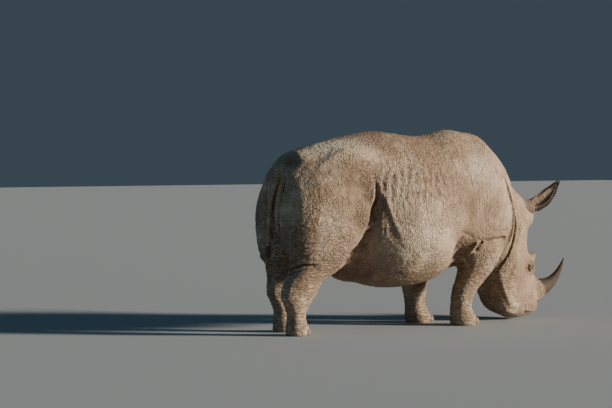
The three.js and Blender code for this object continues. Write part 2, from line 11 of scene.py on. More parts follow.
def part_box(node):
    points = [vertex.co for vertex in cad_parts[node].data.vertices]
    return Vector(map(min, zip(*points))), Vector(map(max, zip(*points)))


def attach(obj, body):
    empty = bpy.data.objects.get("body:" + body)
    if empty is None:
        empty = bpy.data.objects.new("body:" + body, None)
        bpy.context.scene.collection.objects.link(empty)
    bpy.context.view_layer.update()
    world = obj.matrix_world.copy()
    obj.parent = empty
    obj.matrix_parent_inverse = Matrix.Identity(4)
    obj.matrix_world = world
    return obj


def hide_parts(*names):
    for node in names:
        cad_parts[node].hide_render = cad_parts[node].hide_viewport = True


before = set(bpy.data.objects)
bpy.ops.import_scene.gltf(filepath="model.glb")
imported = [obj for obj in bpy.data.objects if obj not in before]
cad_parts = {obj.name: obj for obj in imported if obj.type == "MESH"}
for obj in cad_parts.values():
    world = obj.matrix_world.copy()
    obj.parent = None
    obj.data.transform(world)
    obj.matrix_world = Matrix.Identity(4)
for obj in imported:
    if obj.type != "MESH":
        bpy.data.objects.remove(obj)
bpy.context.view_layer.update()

bl_info = {
    "name": "White rhinoceros",
    "version": (1, 0, 0),
    "blender": (4, 5, 0),
    "location": "View3D > Sidebar > Rhinoceros",
    "description": "Hide, horns, eyes, nails and hairs of a grazing white rhinoceros bull",
    "category": "Add Mesh",
}

# ---------------------------------------------------------------- places on the animal
# Metres. The body's own zero lies under the belly; the front horn's tip stands 2.290 ahead of it.
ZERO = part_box("horn_front")[1].x - 2.290
SIDES = {"right": -1, "left": 1}
LEGS = ("leg_front_right", "leg_front_left", "leg_hind_right", "leg_hind_left")
FLESH = ("trunk", "neck", "head", "tail", "ear_right", "ear_left", *LEGS)
TOES = ("inner", "middle", "outer")


def at(x, y, z):
    return Vector((x + ZERO, y, z))


POLL = at(1.590, 0, 1.196)  # top of the skull
HEAD_LEAN = math.radians(19)  # the face against the vertical
HEAD_ALONG = Vector((math.sin(HEAD_LEAN), 0, -math.cos(HEAD_LEAN)))
HEAD_UP = Vector((math.cos(HEAD_LEAN), 0, math.sin(HEAD_LEAN)))


def in_head(along, up, out=0.0):
    """A place in the head: from poll to lips, from throat to forehead, and out to a side."""
    return POLL + HEAD_ALONG * along + HEAD_UP * up + Vector((0, out, 0))


# ---------------------------------------------------------------- small tools
def only(ob):
    """Makes ob the one selected and active object."""
    bpy.ops.object.select_all(action="DESELECT")
    ob.select_set(True)
    bpy.context.view_layer.objects.active = ob


@contextlib.contextmanager
def editing(ob):
    """Edit mode on ob alone, with all of it selected."""
    only(ob)
    bpy.ops.object.mode_set(mode="EDIT")
    bpy.ops.mesh.select_all(action="SELECT")
    yield
    bpy.ops.object.mode_set(mode="OBJECT")


def primitive(kind, **settings):
    """A new primitive, selected alone."""
    bpy.ops.object.select_all(action="DESELECT")
    getattr(bpy.ops.mesh, f"primitive_{kind}_add")(**settings)
    return bpy.context.active_object


def copy_of(name):
    """A merged copy of a solid, as an object of its own."""
    ob = bpy.data.objects.new(name + "_copy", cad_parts[name].data.copy())
    bpy.context.scene.collection.objects.link(ob)
    ob.data.materials.clear()
    with editing(ob):
        bpy.ops.mesh.remove_doubles(threshold=0.00002)
    return ob


def joined(obs, name):
    bpy.ops.object.select_all(action="DESELECT")
    for ob in obs:
        ob.select_set(True)
    bpy.context.view_layer.objects.active = obs[0]
    bpy.ops.object.join()
    obs[0].name = name
    return obs[0]


def remesh(ob, voxel):
    only(ob)
    ob.data.remesh_voxel_size = voxel
    ob.data.remesh_voxel_adaptivity = 0
    bpy.ops.object.voxel_remesh()


def add_modifier(ob, kind, **settings):
    """Adds a modifier, sets it and applies it."""
    only(ob)
    modifier = ob.modifiers.new(kind.title(), kind)
    for key, value in settings.items():
        setattr(modifier, key, value)
    bpy.ops.object.modifier_apply(modifier=modifier.name)


def coords(ob):
    co = np.empty(len(ob.data.vertices) * 3)
    ob.data.vertices.foreach_get("co", co)
    return co.reshape(-1, 3)


def put(ob, co):
    ob.data.vertices.foreach_set("co", co.ravel())
    ob.data.update()


def normals(ob):
    found = np.empty(len(ob.data.vertices) * 3)
    ob.data.vertex_normals.foreach_get("vector", found)
    return found.reshape(-1, 3)


def edges(ob):
    found = np.empty(len(ob.data.edges) * 2, np.int64)
    ob.data.edges.foreach_get("vertices", found)
    return found.reshape(-1, 2)


def averaged(values, links, rounds):
    """Each value drawn half way to the mean of its neighbours, a number of times."""
    a, b = links.T
    count = len(values)
    degree = np.maximum(np.bincount(links.ravel(), minlength=count), 1)[:, None]
    for _ in range(rounds):
        total = np.stack(
            [
                np.bincount(a, values[b, k], count) + np.bincount(b, values[a, k], count)
                for k in range(values.shape[1])
            ],
            1,
        )
        values = (values + total / degree) / 2
    return values


def eased(co, links, rounds):
    """Smooths out facets without drawing the form in: what that took from slow curves is given back."""
    once = averaged(co, links, rounds)
    return once + averaged(co - once, links, rounds)


def ramp(value, start, end):
    """0 before start, 1 past end, and a smooth step between."""
    t = np.clip((np.asarray(value, float) - start) / (end - start), 0, 1)
    return t * t * (3 - 2 * t)


def bell(value, middle, width):
    """1 in the middle, falling away smoothly to both sides."""
    return np.exp(-(((value - middle) / width) ** 2))


def far_from(co, place):
    """How far each vertex is from a place."""
    return np.linalg.norm(co - np.array(place), axis=1)


def set_attribute(ob, name, values):
    attribute = ob.data.attributes.get(name) or ob.data.attributes.new(name, "FLOAT", "POINT")
    attribute.data.foreach_set("value", np.asarray(values, np.float32))


def colour_setting(name, description, default):
    return bpy.props.FloatVectorProperty(
        name=name, description=description, default=default, subtype="COLOR", size=3, min=0, max=1
    )


def lighter(colour, by):
    return [share * by for share in colour]


def finished(ob, material, nodes):
    """The piece gets its material, rides on the body and stands for its solids."""
    ob.data.shade_smooth()
    ob.data.materials.clear()
    ob.data.materials.append(material)
    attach(ob, "root")
    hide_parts(*nodes)


# ---------------------------------------------------------------- sculpting
FOLD_FADE = 0.25  # the share of a fold in which it runs out at each end


class Sculpt:
    """A mesh while folds and hollows are worked into it."""

    def __init__(self, ob):
        self.ob = ob
        self.co = coords(ob)
        self.survey()

    def survey(self):
        self.normal = normals(self.ob)
        self.tree = BVHTree.FromObject(self.ob, bpy.context.evaluated_depsgraph_get())

    def settle(self):
        """Puts what was worked so far into the mesh, so that what follows lies on it."""
        put(self.ob, self.co)
        bpy.context.view_layer.update()
        self.survey()

    def path(self, points, step=0.012):
        """A smooth line through the points, drawn on to the surface."""
        knots = [points[0], *points, points[-1]]
        line = []
        for i in range(len(points) - 1):
            p, q, r, s = knots[i : i + 4]
            count = max(2, round((r - q).length / step))
            for k in range(count):
                t = k / count
                bend = (2 * p - 5 * q + 4 * r - s) * t**2
                turn = (3 * q - p - 3 * r + s) * t**3
                line.append(0.5 * (2 * q + (r - p) * t + bend + turn))
        line.append(points[-1])
        near = [self.tree.find_nearest(p) for p in line]
        return np.array([n[0] for n in near]), np.array([n[1] for n in near])

    def fold(self, points, depth, width, roll=0.0, over=0.0, reach=0.0):
        """A crease along a line: `depth` deep, `width` to each side, with a roll raised along both
        sides. `over` raises the skin on the line's left and sinks it on its right, out to `reach`, as
        where one mass hangs over another."""
        line, facing = self.path(points)
        wide = max(4 * width, reach)
        low, high = line.min(0) - wide, line.max(0) + wide
        near = np.flatnonzero(((self.co > low) & (self.co < high)).all(1))
        p, n = self.co[near], self.normal[near]
        best = np.full(len(near), np.inf)
        foot = np.zeros(len(near))
        away = np.zeros((len(near), 3))
        tangent = np.zeros((len(near), 3))
        toward = np.zeros((len(near), 3))
        for i in range(len(line) - 1):
            run = line[i + 1] - line[i]
            t = np.clip(((p - line[i]) @ run) / max(run @ run, 1e-12), 0, 1)
            gap = p - line[i] - t[:, None] * run
            d = np.linalg.norm(gap, axis=1)
            closer = d < best
            best[closer] = d[closer]
            foot[closer] = (i + t[closer]) / (len(line) - 1)
            away[closer] = gap[closer]
            tangent[closer] = run
            toward[closer] = facing[i]
        same = ramp((n * toward).sum(1), 0.0, 0.4)
        ends = ramp(foot, 0, FOLD_FADE) * ramp(1 - foot, 0, FOLD_FADE)
        left = np.sign((np.cross(toward, tangent) * away).sum(1))
        move = -depth * bell(best, 0, width)
        move += roll * bell(best, 2.2 * width, 1.2 * width)
        if over:
            slope = bell(best, 0, reach) * ramp(best, 0, 1.2 * width)
            move += over * left * slope
        self.co[near] += n * (move * same * ends)[:, None]

    def press(self, place, radii, depth, power=2.0, within=None):
        """Sinks the skin round a place by `depth`, or raises it where depth is negative. `within` is a
        place and a way: only the skin that lies that way from it moves."""
        centre, facing, _, _ = self.tree.find_nearest(place)
        d = (self.co - np.array(centre)) / np.array(radii)
        r = np.linalg.norm(d, axis=1)
        near = np.flatnonzero(r < 2.5)
        same = ramp(self.normal[near] @ np.array(facing), -0.2, 0.3)
        if within:
            same *= ramp((self.co[near] - np.array(within[0])) @ np.array(within[1]), -0.005, 0.035)
        self.co[near] -= np.array(facing) * (depth * np.exp(-(r[near] ** power)) * same)[:, None]


# ---------------------------------------------------------------- folds of the hide
# All are given for the right side, as places on the body; the left side is their mirror.
def route(*places):
    return [at(*place) for place in places]


SHOULDER_EDGE = route(
    (1.13, -0.43, 1.44), (1.171, -0.426, 1.326), (1.205, -0.435, 1.234), (1.246, -0.43, 1.142),
    (1.309, -0.379, 1.048), (1.377, -0.304, 0.952), (1.387, -0.276, 0.858), (1.372, -0.258, 0.765),
    (1.328, -0.245, 0.683), (1.27, -0.22, 0.60),
)
JAW_EDGE = route(
    (1.37, -0.34, 1.13), (1.40, -0.305, 1.05), (1.425, -0.274, 0.969), (1.445, -0.256, 0.91),
    (1.448, -0.252, 0.856), (1.426, -0.245, 0.745), (1.388, -0.239, 0.643), (1.337, -0.22, 0.561),
    (1.298, -0.181, 0.477), (1.278, -0.119, 0.381),
)
THIGH_EDGE = route(
    (-0.345, -0.44, 1.44), (-0.344, -0.44, 1.383), (-0.326, -0.444, 1.296), (-0.319, -0.45, 1.209),
    (-0.333, -0.444, 1.15), (-0.36, -0.43, 1.08), (-0.382, -0.426, 0.993), (-0.41, -0.418, 0.907),
    (-0.457, -0.41, 0.82), (-0.513, -0.412, 0.762), (-0.605, -0.422, 0.696), (-0.70, -0.40, 0.62),
)
FLANK_WEB = route(
    (-0.325, -0.445, 1.36), (-0.292, -0.464, 1.253), (-0.256, -0.489, 1.166), (-0.22, -0.512, 1.079),
    (-0.189, -0.53, 0.992), (-0.165, -0.54, 0.925), (-0.13, -0.555, 0.86), (-0.09, -0.56, 0.78),
)
ARM_TOP = route(
    (1.26, -0.33, 0.76), (1.215, -0.40, 0.785), (1.15, -0.435, 0.806), (1.086, -0.455, 0.804),
    (0.98, -0.466, 0.793), (0.912, -0.463, 0.786), (0.85, -0.45, 0.787),
)
ARMPIT_TOP = route(
    (0.50, -0.585, 0.865), (0.57, -0.565, 0.855), (0.65, -0.525, 0.825), (0.72, -0.485, 0.80),
    (0.80, -0.45, 0.79),
)
ELBOW_WEB = route((0.845, -0.45, 0.785), (0.815, -0.43, 0.735), (0.785, -0.395, 0.68), (0.765, -0.36, 0.62))
ELBOW_CREASE = route((0.895, -0.46, 0.78), (0.855, -0.445, 0.73), (0.825, -0.41, 0.675))
HAMSTRING = route(
    (-0.868, -0.404, 0.635), (-0.923, -0.379, 0.616), (-0.981, -0.357, 0.615),
    (-1.022, -0.328, 0.617), (-1.051, -0.265, 0.600), (-1.071, -0.19, 0.580), (-1.05, -0.12, 0.575),
)
MOUTH = route(
    (1.86, 0, 0.056), (1.84, -0.08, 0.056), (1.79, -0.13, 0.058), (1.72, -0.145, 0.064),
    (1.66, -0.15, 0.074),
)
CHEEK_EDGE = route((1.50, -0.19, 0.62), (1.475, -0.20, 0.52), (1.43, -0.20, 0.42), (1.40, -0.19, 0.33))
TAIL_GROOVE = route(
    (-1.00, -0.145, 1.40), (-1.055, -0.12, 1.30), (-1.09, -0.092, 1.15), (-1.10, -0.08, 0.955),
    (-1.05, -0.05, 0.79),
)
CROUP_RIDGE = route(
    (-0.78, -0.07, 1.63), (-0.69, -0.13, 1.63), (-0.60, -0.226, 1.615), (-0.53, -0.35, 1.59),
    (-0.44, -0.40, 1.56), (-0.364, -0.43, 1.50),
)
RIBS = {"count": 9, "first": -0.22, "apart": 0.074, "top": 1.60, "reach": 0.52}


def part_way(first, second, share):
    """The line a share of the way from one line to another with as many places."""
    return [p.lerp(q, share) for p, q in zip(first, second)]


def body_folds():
    """Each fold's line, depth, width, rolls beside it, overhang and its reach."""
    yield SHOULDER_EDGE, 0.017, 0.007, 0.002, 0.008, 0.05
    yield JAW_EDGE, 0.016, 0.007, 0.002, 0.008, 0.045
    for share, depth in ((0.22, 0.006), (0.45, 0.011), (0.72, 0.008), (1.3, 0.010), (1.6, 0.006)):
        yield part_way(SHOULDER_EDGE, JAW_EDGE, share), depth * 0.6, 0.008, 0.002, 0, 0
    for share in (-0.3, -0.6):
        yield part_way(SHOULDER_EDGE, JAW_EDGE, share)[:5], 0.004, 0.012, 0.002, 0, 0
    yield ARM_TOP, 0.018, 0.011, 0, -0.016, 0.06
    yield ARMPIT_TOP, 0.008, 0.016, 0, -0.004, 0.06
    yield ELBOW_WEB, -0.028, 0.016, 0, 0, 0
    yield ELBOW_CREASE, 0.018, 0.015, 0, 0, 0
    yield THIGH_EDGE, 0.020, 0.015, 0, -0.016, 0.07
    yield FLANK_WEB, -0.015, 0.028, 0, 0, 0
    yield [p + Vector((0.065, -0.02, -0.02)) for p in FLANK_WEB[2:-1]], -0.005, 0.020, 0, 0, 0
    yield CROUP_RIDGE, -0.005, 0.030, 0, 0, 0
    yield HAMSTRING, 0.020, 0.012, 0.004, -0.012, 0.05
    yield [p - Vector((0, 0, 0.045)) for p in HAMSTRING[1:]], 0.006, 0.010, 0.002, 0, 0
    yield CHEEK_EDGE, 0.008, 0.022, 0, 0.004, 0.07
    yield TAIL_GROOVE, 0.030, 0.020, 0, 0, 0
    for k in range(RIBS["count"]):
        x = RIBS["first"] + RIBS["apart"] * k
        top = RIBS["top"] - 0.08 * ((k * 5) % 3)
        reach = RIBS["reach"] * (1 - 0.2 * ((k * 2) % 3))
        line = []
        for t in (0, 0.25, 0.5, 0.75, 1):
            sway = 0.016 * math.sin(7 * t + 2 * k)
            line.append(at(x - 0.07 * t + sway, -0.5, top - reach * t))
        yield line, 0.0035 + 0.0015 * (k % 2), 0.017, 0.002, 0, 0


# Hollows and swellings: place, radii along each axis, depth.
HOLLOWS = (
    (at(-0.325, -0.44, 1.00), (0.035, 0.2, 0.17), 0.012),
    (at(-0.355, -0.42, 0.80), (0.060, 0.2, 0.13), 0.020),
    (at(-0.285, -0.47, 0.90), (0.095, 0.2, 0.24), -0.030),
    (at(0.66, -0.48, 0.685), (0.125, 0.3, 0.145), 0.105),
    (at(-1.03, -0.14, 1.40), (0.12, 0.12, 0.14), -0.028),
    (at(-0.285, -0.47, 1.20), (0.05, 0.15, 0.10), -0.012),
    (at(1.245, -0.35, 0.745), (0.035, 0.1, 0.035), 0.035),
    (at(0.69, -0.52, 0.95), (0.055, 0.2, 0.13), 0.012),
    (at(-0.70, -0.46, 1.18), (0.16, 0.2, 0.16), -0.012),
    (at(1.02, -0.48, 1.10), (0.13, 0.2, 0.22), -0.012),
    (at(1.90, -0.05, 0.085), (0.07, 0.12, 0.055), 0.012),
)
# Where the belly draws in before the thigh.
GROIN = (at(-0.44, -0.42, 0.68), (0.22, 0.3, 0.19), 0.10)

# Patches of the hide: place, radii along each axis, how strong. The pale ones are partly dust and partly
# painted light; the brown ones are partly stains of earth and partly painted shade.
DUST_AND_PAINTED_LIGHT_PATCHES = (
    # Painted light over pale dust on the croup and hip.
    (at(-0.60, -0.18, 1.66), (0.26, 0.28, 0.12), 1.0),
    (at(-0.42, -0.40, 1.56), (0.12, 0.12, 0.05), 0.4),
    # Painted light on the belly.
    (at(0.12, -0.58, 0.86), (0.34, 0.20, 0.17), 0.6),
    # Pale on flank, shoulder and sides.
    (at(-0.12, -0.50, 1.20), (0.14, 0.20, 0.22), 0.4),
    (at(0.90, -0.43, 1.42), (0.22, 0.20, 0.14), 0.5),
    (at(1.22, -0.42, 1.05), (0.07, 0.15, 0.25), 0.3),
    (at(-0.80, -0.45, 0.98), (0.12, 0.20, 0.12), 0.3),
)
EARTH_AND_PAINTED_SHADE_PATCHES = (
    # Stains of earth on the rump.
    (at(-0.56, -0.42, 1.29), (0.23, 0.25, 0.22), 1.0),
    (at(-0.80, -0.38, 1.36), (0.18, 0.25, 0.17), 1.0),
    # Painted shade in the groin before the thigh.
    (at(-0.47, -0.43, 0.96), (0.12, 0.25, 0.22), 0.9),
    # Darker brown on the top of the back.
    (at(-0.02, -0.25, 1.68), (0.36, 0.34, 0.14), 0.9),
    # Painted shade in the hollow behind the shoulder, over browner hide.
    (at(0.67, -0.53, 1.00), (0.12, 0.20, 0.26), 1.0),
    # Brown on the shoulder.
    (at(0.90, -0.50, 1.05), (0.10, 0.20, 0.14), 0.4),
    # Painted shade under the belly.
    (at(-0.20, -0.15, 0.50), (0.50, 0.45, 0.14), 1.0),
    # Brown on the side, and spots on the face.
    (at(0.45, -0.50, 1.35), (0.12, 0.20, 0.12), 0.4),
    (at(1.60, -0.22, 0.42), (0.09, 0.20, 0.15), 0.85),
    (at(1.72, -0.20, 0.22), (0.06, 0.20, 0.07), 0.5),
)


class RhinoSkinSettings(bpy.types.PropertyGroup):
    rough_grain: bpy.props.FloatProperty(
        name="First grain", description="Size of the cells that join the solids of flesh", default=0.012,
        min=0.006, unit="LENGTH",
    )
    grain: bpy.props.FloatProperty(
        name="Grain", description="Size of the cells that the folds are worked into", default=0.008,
        min=0.005, unit="LENGTH",
    )
    triangles: bpy.props.IntProperty(
        name="Triangles", description="Most triangles that the finished skin has", default=192000, min=20000,
    )
    dust: colour_setting("Dust", "Colour of the dusty hide in the light", (0.53, 0.40, 0.285))
    hide: colour_setting("Hide", "Colour of the bare hide", (0.36, 0.265, 0.185))
    # Mud: also the colour of the painted shade in grooves, creases and hollows.
    mud_and_shade: colour_setting("Mud", "Colour of dried mud in the wrinkles", (0.15, 0.10, 0.07))
    # Stain: also the colour of the painted shade on top of the back and in some brown patches.
    stain_and_shade: colour_setting("Stain", "Colour of the earth rubbed into the hide", (0.31, 0.205, 0.13))
    grey: colour_setting("Grey", "Colour of the clean skin of face and ears", (0.42, 0.36, 0.295))
    # Pale dust: dust in random patches, and also painted light in the pale patches of croup, hip and belly.
    pale: colour_setting("Pale dust", "Colour of the dust on croup and shoulder", (0.80, 0.665, 0.505))


# Where each horn is cut off, so that its root alone is joined into the skin.
HORN_PLUGS = {"horn_front": in_head(0.985, 0.03), "horn_rear": in_head(0.690, 0.03)}


def joined_flesh(rough_grain, grain):
    """One closed skin over the solids of flesh, without the ears and the tail."""
    parts = [copy_of(name) for name in FLESH if not name.startswith(("ear", "tail"))]
    parts += [copy_of(name) for name in ("eye_right", "eye_left")]
    parts += [copy_of(f"toenail_{leg[4:]}_{toe}") for leg in LEGS for toe in TOES]
    for name, foot in HORN_PLUGS.items():
        plug = copy_of(name)
        with editing(plug):
            bpy.ops.mesh.bisect(plane_co=foot, plane_no=HEAD_UP, use_fill=True, clear_outer=True)
        parts.append(plug)
    for part in parts:
        with editing(part):
            bpy.ops.transform.shrink_fatten(value=0.001)
    skin = joined(parts, "skin")
    remesh(skin, rough_grain)
    co, links = coords(skin), edges(skin)
    sole = co[:, 2] < 0.004
    light = eased(co, links, 8)
    heavy = eased(co, links, 55)
    body = ramp(co[:, 2], 0.50, 0.78) * (1 - ramp(co[:, 0] - ZERO, 1.10, 1.45))
    co = light + body[:, None] * (heavy - light)
    co[sole, 2] = 0
    co[:, 2] = np.maximum(co[:, 2], 0)
    put(skin, co)
    remesh(skin, grain)
    co, links = coords(skin), edges(skin)
    co = eased(co, links, 3)
    co[:, 2] = np.maximum(co[:, 2], 0)
    put(skin, co)
    return skin


def folded(skin):
    sculpt = Sculpt(skin)
    for sign in SIDES.values():
        for place, radii, depth in HOLLOWS:
            sculpt.press(on_side(place, sign), radii, depth)
        place, radii, depth = GROIN
        edge = on_side(THIGH_EDGE[8], sign), Vector((0.75, 0, -0.66))
        sculpt.press(on_side(place, sign), radii, depth, within=edge)
    sculpt.settle()
    for line, depth, width, roll, over, reach in body_folds():
        for sign in SIDES.values():
            points = [on_side(p, sign) for p in line]
            sculpt.fold(points, depth, width, roll=roll, over=-sign * over, reach=reach)
    sculpt.settle()


def on_side(place, sign):
    """A place given for the right side, on the side of that sign."""
    return Vector((place.x, -sign * place.y, place.z))


def wrinkled(skin):
    """Works wrinkles of a hand's breadth and less into the skin: level ones round the legs, upright
    ones on ribs and neck, and small pebbles elsewhere."""
    co, n = coords(skin), normals(skin)
    areas = hide_areas(co)
    level, upright, pebbles = areas["level_wrinkles"], areas["upright_wrinkles"], areas["pebbles"]
    still = ramp(co[:, 2], 0.015, 0.05)
    height = np.zeros(len(co))
    for i, (x, y, z) in enumerate(co):
        bend = 0.03 * noise.noise(Vector((x * 4, y * 4, z * 4)))
        if level[i] > 0.05:
            place = Vector((x * 6, y * 6, (z + bend) * 36))
            height[i] -= 0.0036 * level[i] * max(0, 1 - 3.2 * abs(noise.noise(place)))
        if upright[i] > 0.05:
            place = Vector(((x + bend) * 19, y * 9, (z + 0.4 * x) * 3.5))
            height[i] -= 0.0040 * upright[i] * max(0, 1 - 3.0 * abs(noise.noise(place)))
        if pebbles[i] > 0.3:
            place = Vector((x * 17, y * 17, z * 20))
            height[i] -= 0.0026 * pebbles[i] * max(0, 1 - 3.0 * abs(noise.noise(place)))
    put(skin, co + n * (height * still)[:, None])


# ---------------------------------------------------------------- the head's fine forms
EYE_LOOK = Vector((0.30, 0.95, 0.06)).normalized()  # the left eye's
SLIT = {"long": 0.029, "wide": 0.0115}
LID = 0.0032  # of skin over the ball
LID_WRINKLES = ((0.029, 0.0045), (0.040, 0.0035), (0.052, 0.0030), (0.065, 0.0020))  # radius, depth
NOSTRIL = at(1.842, -0.134, 0.151)
HORN_FEET = {"front": (in_head(0.978, 0.045), 0.098), "rear": (in_head(0.690, 0.035), 0.072)}


def eye_place(name):
    low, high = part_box(f"eye_{name}")
    return (low + high) / 2, (high - low).z / 2


def fine_places():
    """The places whose skin has finer faces, with their radii."""
    for name, sign in SIDES.items():
        centre, _ = eye_place(name)
        yield centre, 0.085
        yield on_side(NOSTRIL, sign), 0.075


def refined(ob, places):
    """Quarters the faces within a radius of each place, and eases them."""
    bm = bmesh.new()
    bm.from_mesh(ob.data)
    for place, radius in places:
        near = [f for f in bm.faces if (f.calc_center_median() - place).length < radius]
        lines = list({e for f in near for e in f.edges})
        bmesh.ops.subdivide_edges(bm, edges=lines, cuts=1, use_grid_fill=True)
    bmesh.ops.triangulate(bm, faces=[f for f in bm.faces if len(f.verts) > 4])
    bm.to_mesh(ob.data)
    bm.free()
    co = coords(ob)
    smooth = eased(co, edges(ob), 3)
    for place, radius in places:
        inside = 1 - ramp(far_from(co, place), radius * 0.85, radius * 1.15)
        co += (smooth - co) * inside[:, None]
    put(ob, co)


def eye_opened(skin, name, sign):
    """Draws the skin over the ball as two lids, parts them in a slit, and wrinkles it round them."""
    centre, radius = eye_place(name)
    look = Vector((EYE_LOOK.x, sign * EYE_LOOK.y, EYE_LOOK.z))
    along = (HEAD_ALONG - look * HEAD_ALONG.dot(look)).normalized()
    upward = (HEAD_UP - look * HEAD_UP.dot(look) - along * HEAD_UP.dot(along)).normalized()
    co = coords(skin)
    d = co - np.array(centre)
    a, b, h = d @ np.array(along), d @ np.array(upward), d @ np.array(look)
    r = np.hypot(a, b)
    near = (r < 0.09) & (h > -0.03)
    lid = np.sqrt(np.maximum((radius + LID) ** 2 - r**2, 0))
    drawn = 1 - ramp(r, radius * 0.8, radius * 1.35)
    target = h + drawn * (np.maximum(lid, 0.006) - h)
    open_to = SLIT["wide"] * np.maximum(1 - (a / SLIT["long"]) ** 2, 0)
    past = np.abs(b - 0.002) - open_to
    rim = bell(past, 0.0045, 0.0030) * (1 - ramp(np.abs(a), 0.020, 0.032))
    target += 0.0022 * rim
    corner = bell(b, 0, 0.003) * ramp(np.abs(a), 0.016, 0.024) * (1 - ramp(np.abs(a), 0.030, 0.048))
    target -= 0.005 * corner
    upper = np.hypot(a / 1.25, b + 0.003)
    for ring, depth in LID_WRINKLES:
        wave = ring + 0.0016 * np.sin(np.arctan2(b, a) * 5 + ring * 300)
        target -= depth * bell(upper - wave, 0, 0.0030)
        target += depth * 0.6 * bell(upper - wave, 0.006, 0.0045)
    hole = 1 - ramp(past, -0.0022, 0.0006)
    inner = np.sqrt(np.maximum((radius - 0.004) ** 2 - r**2, 0)) - 0.002
    target += hole * (np.minimum(inner, target) - target)
    brow = bell(b, 0.050, 0.018) * bell(a, 0, 0.075)
    target += 0.014 * brow
    fade = 1 - ramp(r, 0.070, 0.090)
    co[near] += np.outer(((target - h) * fade)[near], np.array(look))
    put(skin, co)


def nostril_opened(sculpt, sign):
    place = on_side(NOSTRIL, sign)
    sculpt.press(place, (0.055, 0.05, 0.045), -0.010)
    sculpt.press(place, (0.020, 0.040, 0.027), 0.040, power=5)


def collared(skin):
    """Raises a ragged collar of thick skin round the foot of each horn."""
    co, n = coords(skin), normals(skin)
    for place, radius in HORN_FEET.values():
        d = co - np.array(place)
        up = d @ np.array(HEAD_UP)
        a, b = d @ np.array(HEAD_ALONG), d[:, 1]
        r = np.hypot(a, b)
        turn = np.arctan2(b, a)
        ragged = 1 + 0.28 * np.sin(turn * 19) * np.sin(turn * 7 + 1) + 0.18 * np.sin(turn * 37)
        band = bell(r, radius, 0.17 * radius) * (np.abs(up) < 0.10)
        co += n * (0.009 * band * ragged)[:, None]
    put(skin, co)


def headed(skin):
    """The eyes, nostrils and collars of the horns, worked into a finer skin."""
    places = list(fine_places())
    refined(skin, places)
    refined(skin, [(place, radius * 0.72) for place, radius in places])
    refined(skin, [(place, radius * 1.5) for place, radius in HORN_FEET.values()])
    for name, sign in SIDES.items():
        eye_opened(skin, name, sign)
    sculpt = Sculpt(skin)
    for sign in SIDES.values():
        nostril_opened(sculpt, sign)
        sculpt.fold([on_side(p, sign) for p in MOUTH], 0.009, 0.007, roll=0.002)
    put(skin, sculpt.co)
    collared(skin)


def hide_areas(co):
    """How the hide lies in each place: shares of each kind of wrinkle, and of the face."""
    x, y, z = co[:, 0] - ZERO, np.abs(co[:, 1]), co[:, 2]
    face = ramp(x, 1.45, 1.60)
    legs = (1 - ramp(z, 0.55, 0.70)) * (1 - face)
    belly = legs * ramp(x, -0.75, -0.60) * (1 - ramp(x, 0.45, 0.62))
    legs = legs - belly
    thigh = ramp(-x, 0.45, 0.70) * (1 - ramp(z, 0.90, 1.15)) * ramp(z, 0.5, 0.6)
    ribs = ramp(x, -0.30, -0.10) * (1 - ramp(x, 0.65, 0.85))
    ribs = ribs * ramp(z, 0.95, 1.15) * (1 - ramp(z, 1.58, 1.70))
    neck = ramp(x, 1.18, 1.28) * (1 - ramp(x, 1.40, 1.50)) * ramp(z, 0.4, 0.6) * (1 - ramp(z, 0.80, 1.0))
    shoulder = ramp(x, 0.62, 0.85) * (1 - ramp(x, 1.15, 1.30)) * ramp(z, 0.80, 0.95)
    web = bell(x, -0.27, 0.09) * ramp(z, 0.8, 0.95) * (1 - ramp(z, 1.25, 1.4))
    pebbles = 1 - 0.55 * shoulder - 0.6 * face - 0.4 * neck - 0.45 * legs - 0.3 * ribs
    return {
        "level_wrinkles": np.clip(legs + 0.75 * thigh, 0, 1),
        "upright_wrinkles": np.clip(0.75 * ribs + 0.6 * neck + 0.8 * web + 0.4 * shoulder, 0, 1),
        "pebbles": np.clip(pebbles, 0.15, 1),
        "face": face,
    }


def patch_share(co, patches):
    """How strongly each vertex lies in the patches of both sides."""
    strength = np.zeros(len(co))
    for place, radii, most in patches:
        for sign in SIDES.values():
            far = ((co - np.array(on_side(place, sign))) / np.array(radii)) ** 2
            strength = np.maximum(strength, most * np.exp(-far.sum(1)))
    return strength


def collar_share(co):
    """1 at the foot of a horn, running out on the skin round it."""
    share = np.zeros(len(co))
    for place, radius in HORN_FEET.values():
        share = np.maximum(share, 1 - ramp(far_from(co, place), radius * 1.1, radius * 1.9))
    return share


def ear_shares(co, n):
    """How far each vertex lies in the cup of an ear, and in the dark edge along its lower margin and tip."""
    inside, fringe = np.zeros(len(co)), np.zeros(len(co))
    for name, sign in SIDES.items():
        line, mouth = ear_rim(name, sign)
        marks = np.array([line(t) for t in np.linspace(0, 1, 12)])
        far = np.linalg.norm(co[:, None] - marks[None, 4:], axis=2).min(1)
        inside = np.maximum(inside, (far < 0.09) * ramp(n @ np.array(mouth), 0.1, 0.6))
        for t in np.linspace(0.36, 1, 30):
            tangent = (line(min(t + 0.02, 1)) - line(t - 0.02)).normalized()
            wide = steady(EAR_WIDTH, 1)(t)
            off = co - np.array(line(t))
            level = 1 - ramp(np.abs(off @ np.array(tangent)), 0.006, 0.018)
            share = off @ np.array(lower_side(tangent, mouth)) / wide
            near = level * ramp(share, 0.24, 0.44) * (np.linalg.norm(off, axis=1) < 1.6 * wide)
            fringe = np.maximum(fringe, near)
        fringe = np.maximum(fringe, 1 - ramp(far_from(co, line(1)), 0.070, 0.115))
    return inside, fringe


def eye_shade_share(co):
    """1 on the lids, in an oval that is longest along the face: there the shade round each eye is painted
    dark.
    """
    share = np.zeros(len(co))
    for name in SIDES:
        centre, _ = eye_place(name)
        off = co - np.array(centre)
        along = off @ np.array(HEAD_ALONG)
        far = np.sqrt((off**2).sum(1) - 0.72 * along**2)
        share = np.maximum(share, 1 - ramp(far, 0.015, 0.028))
    return share


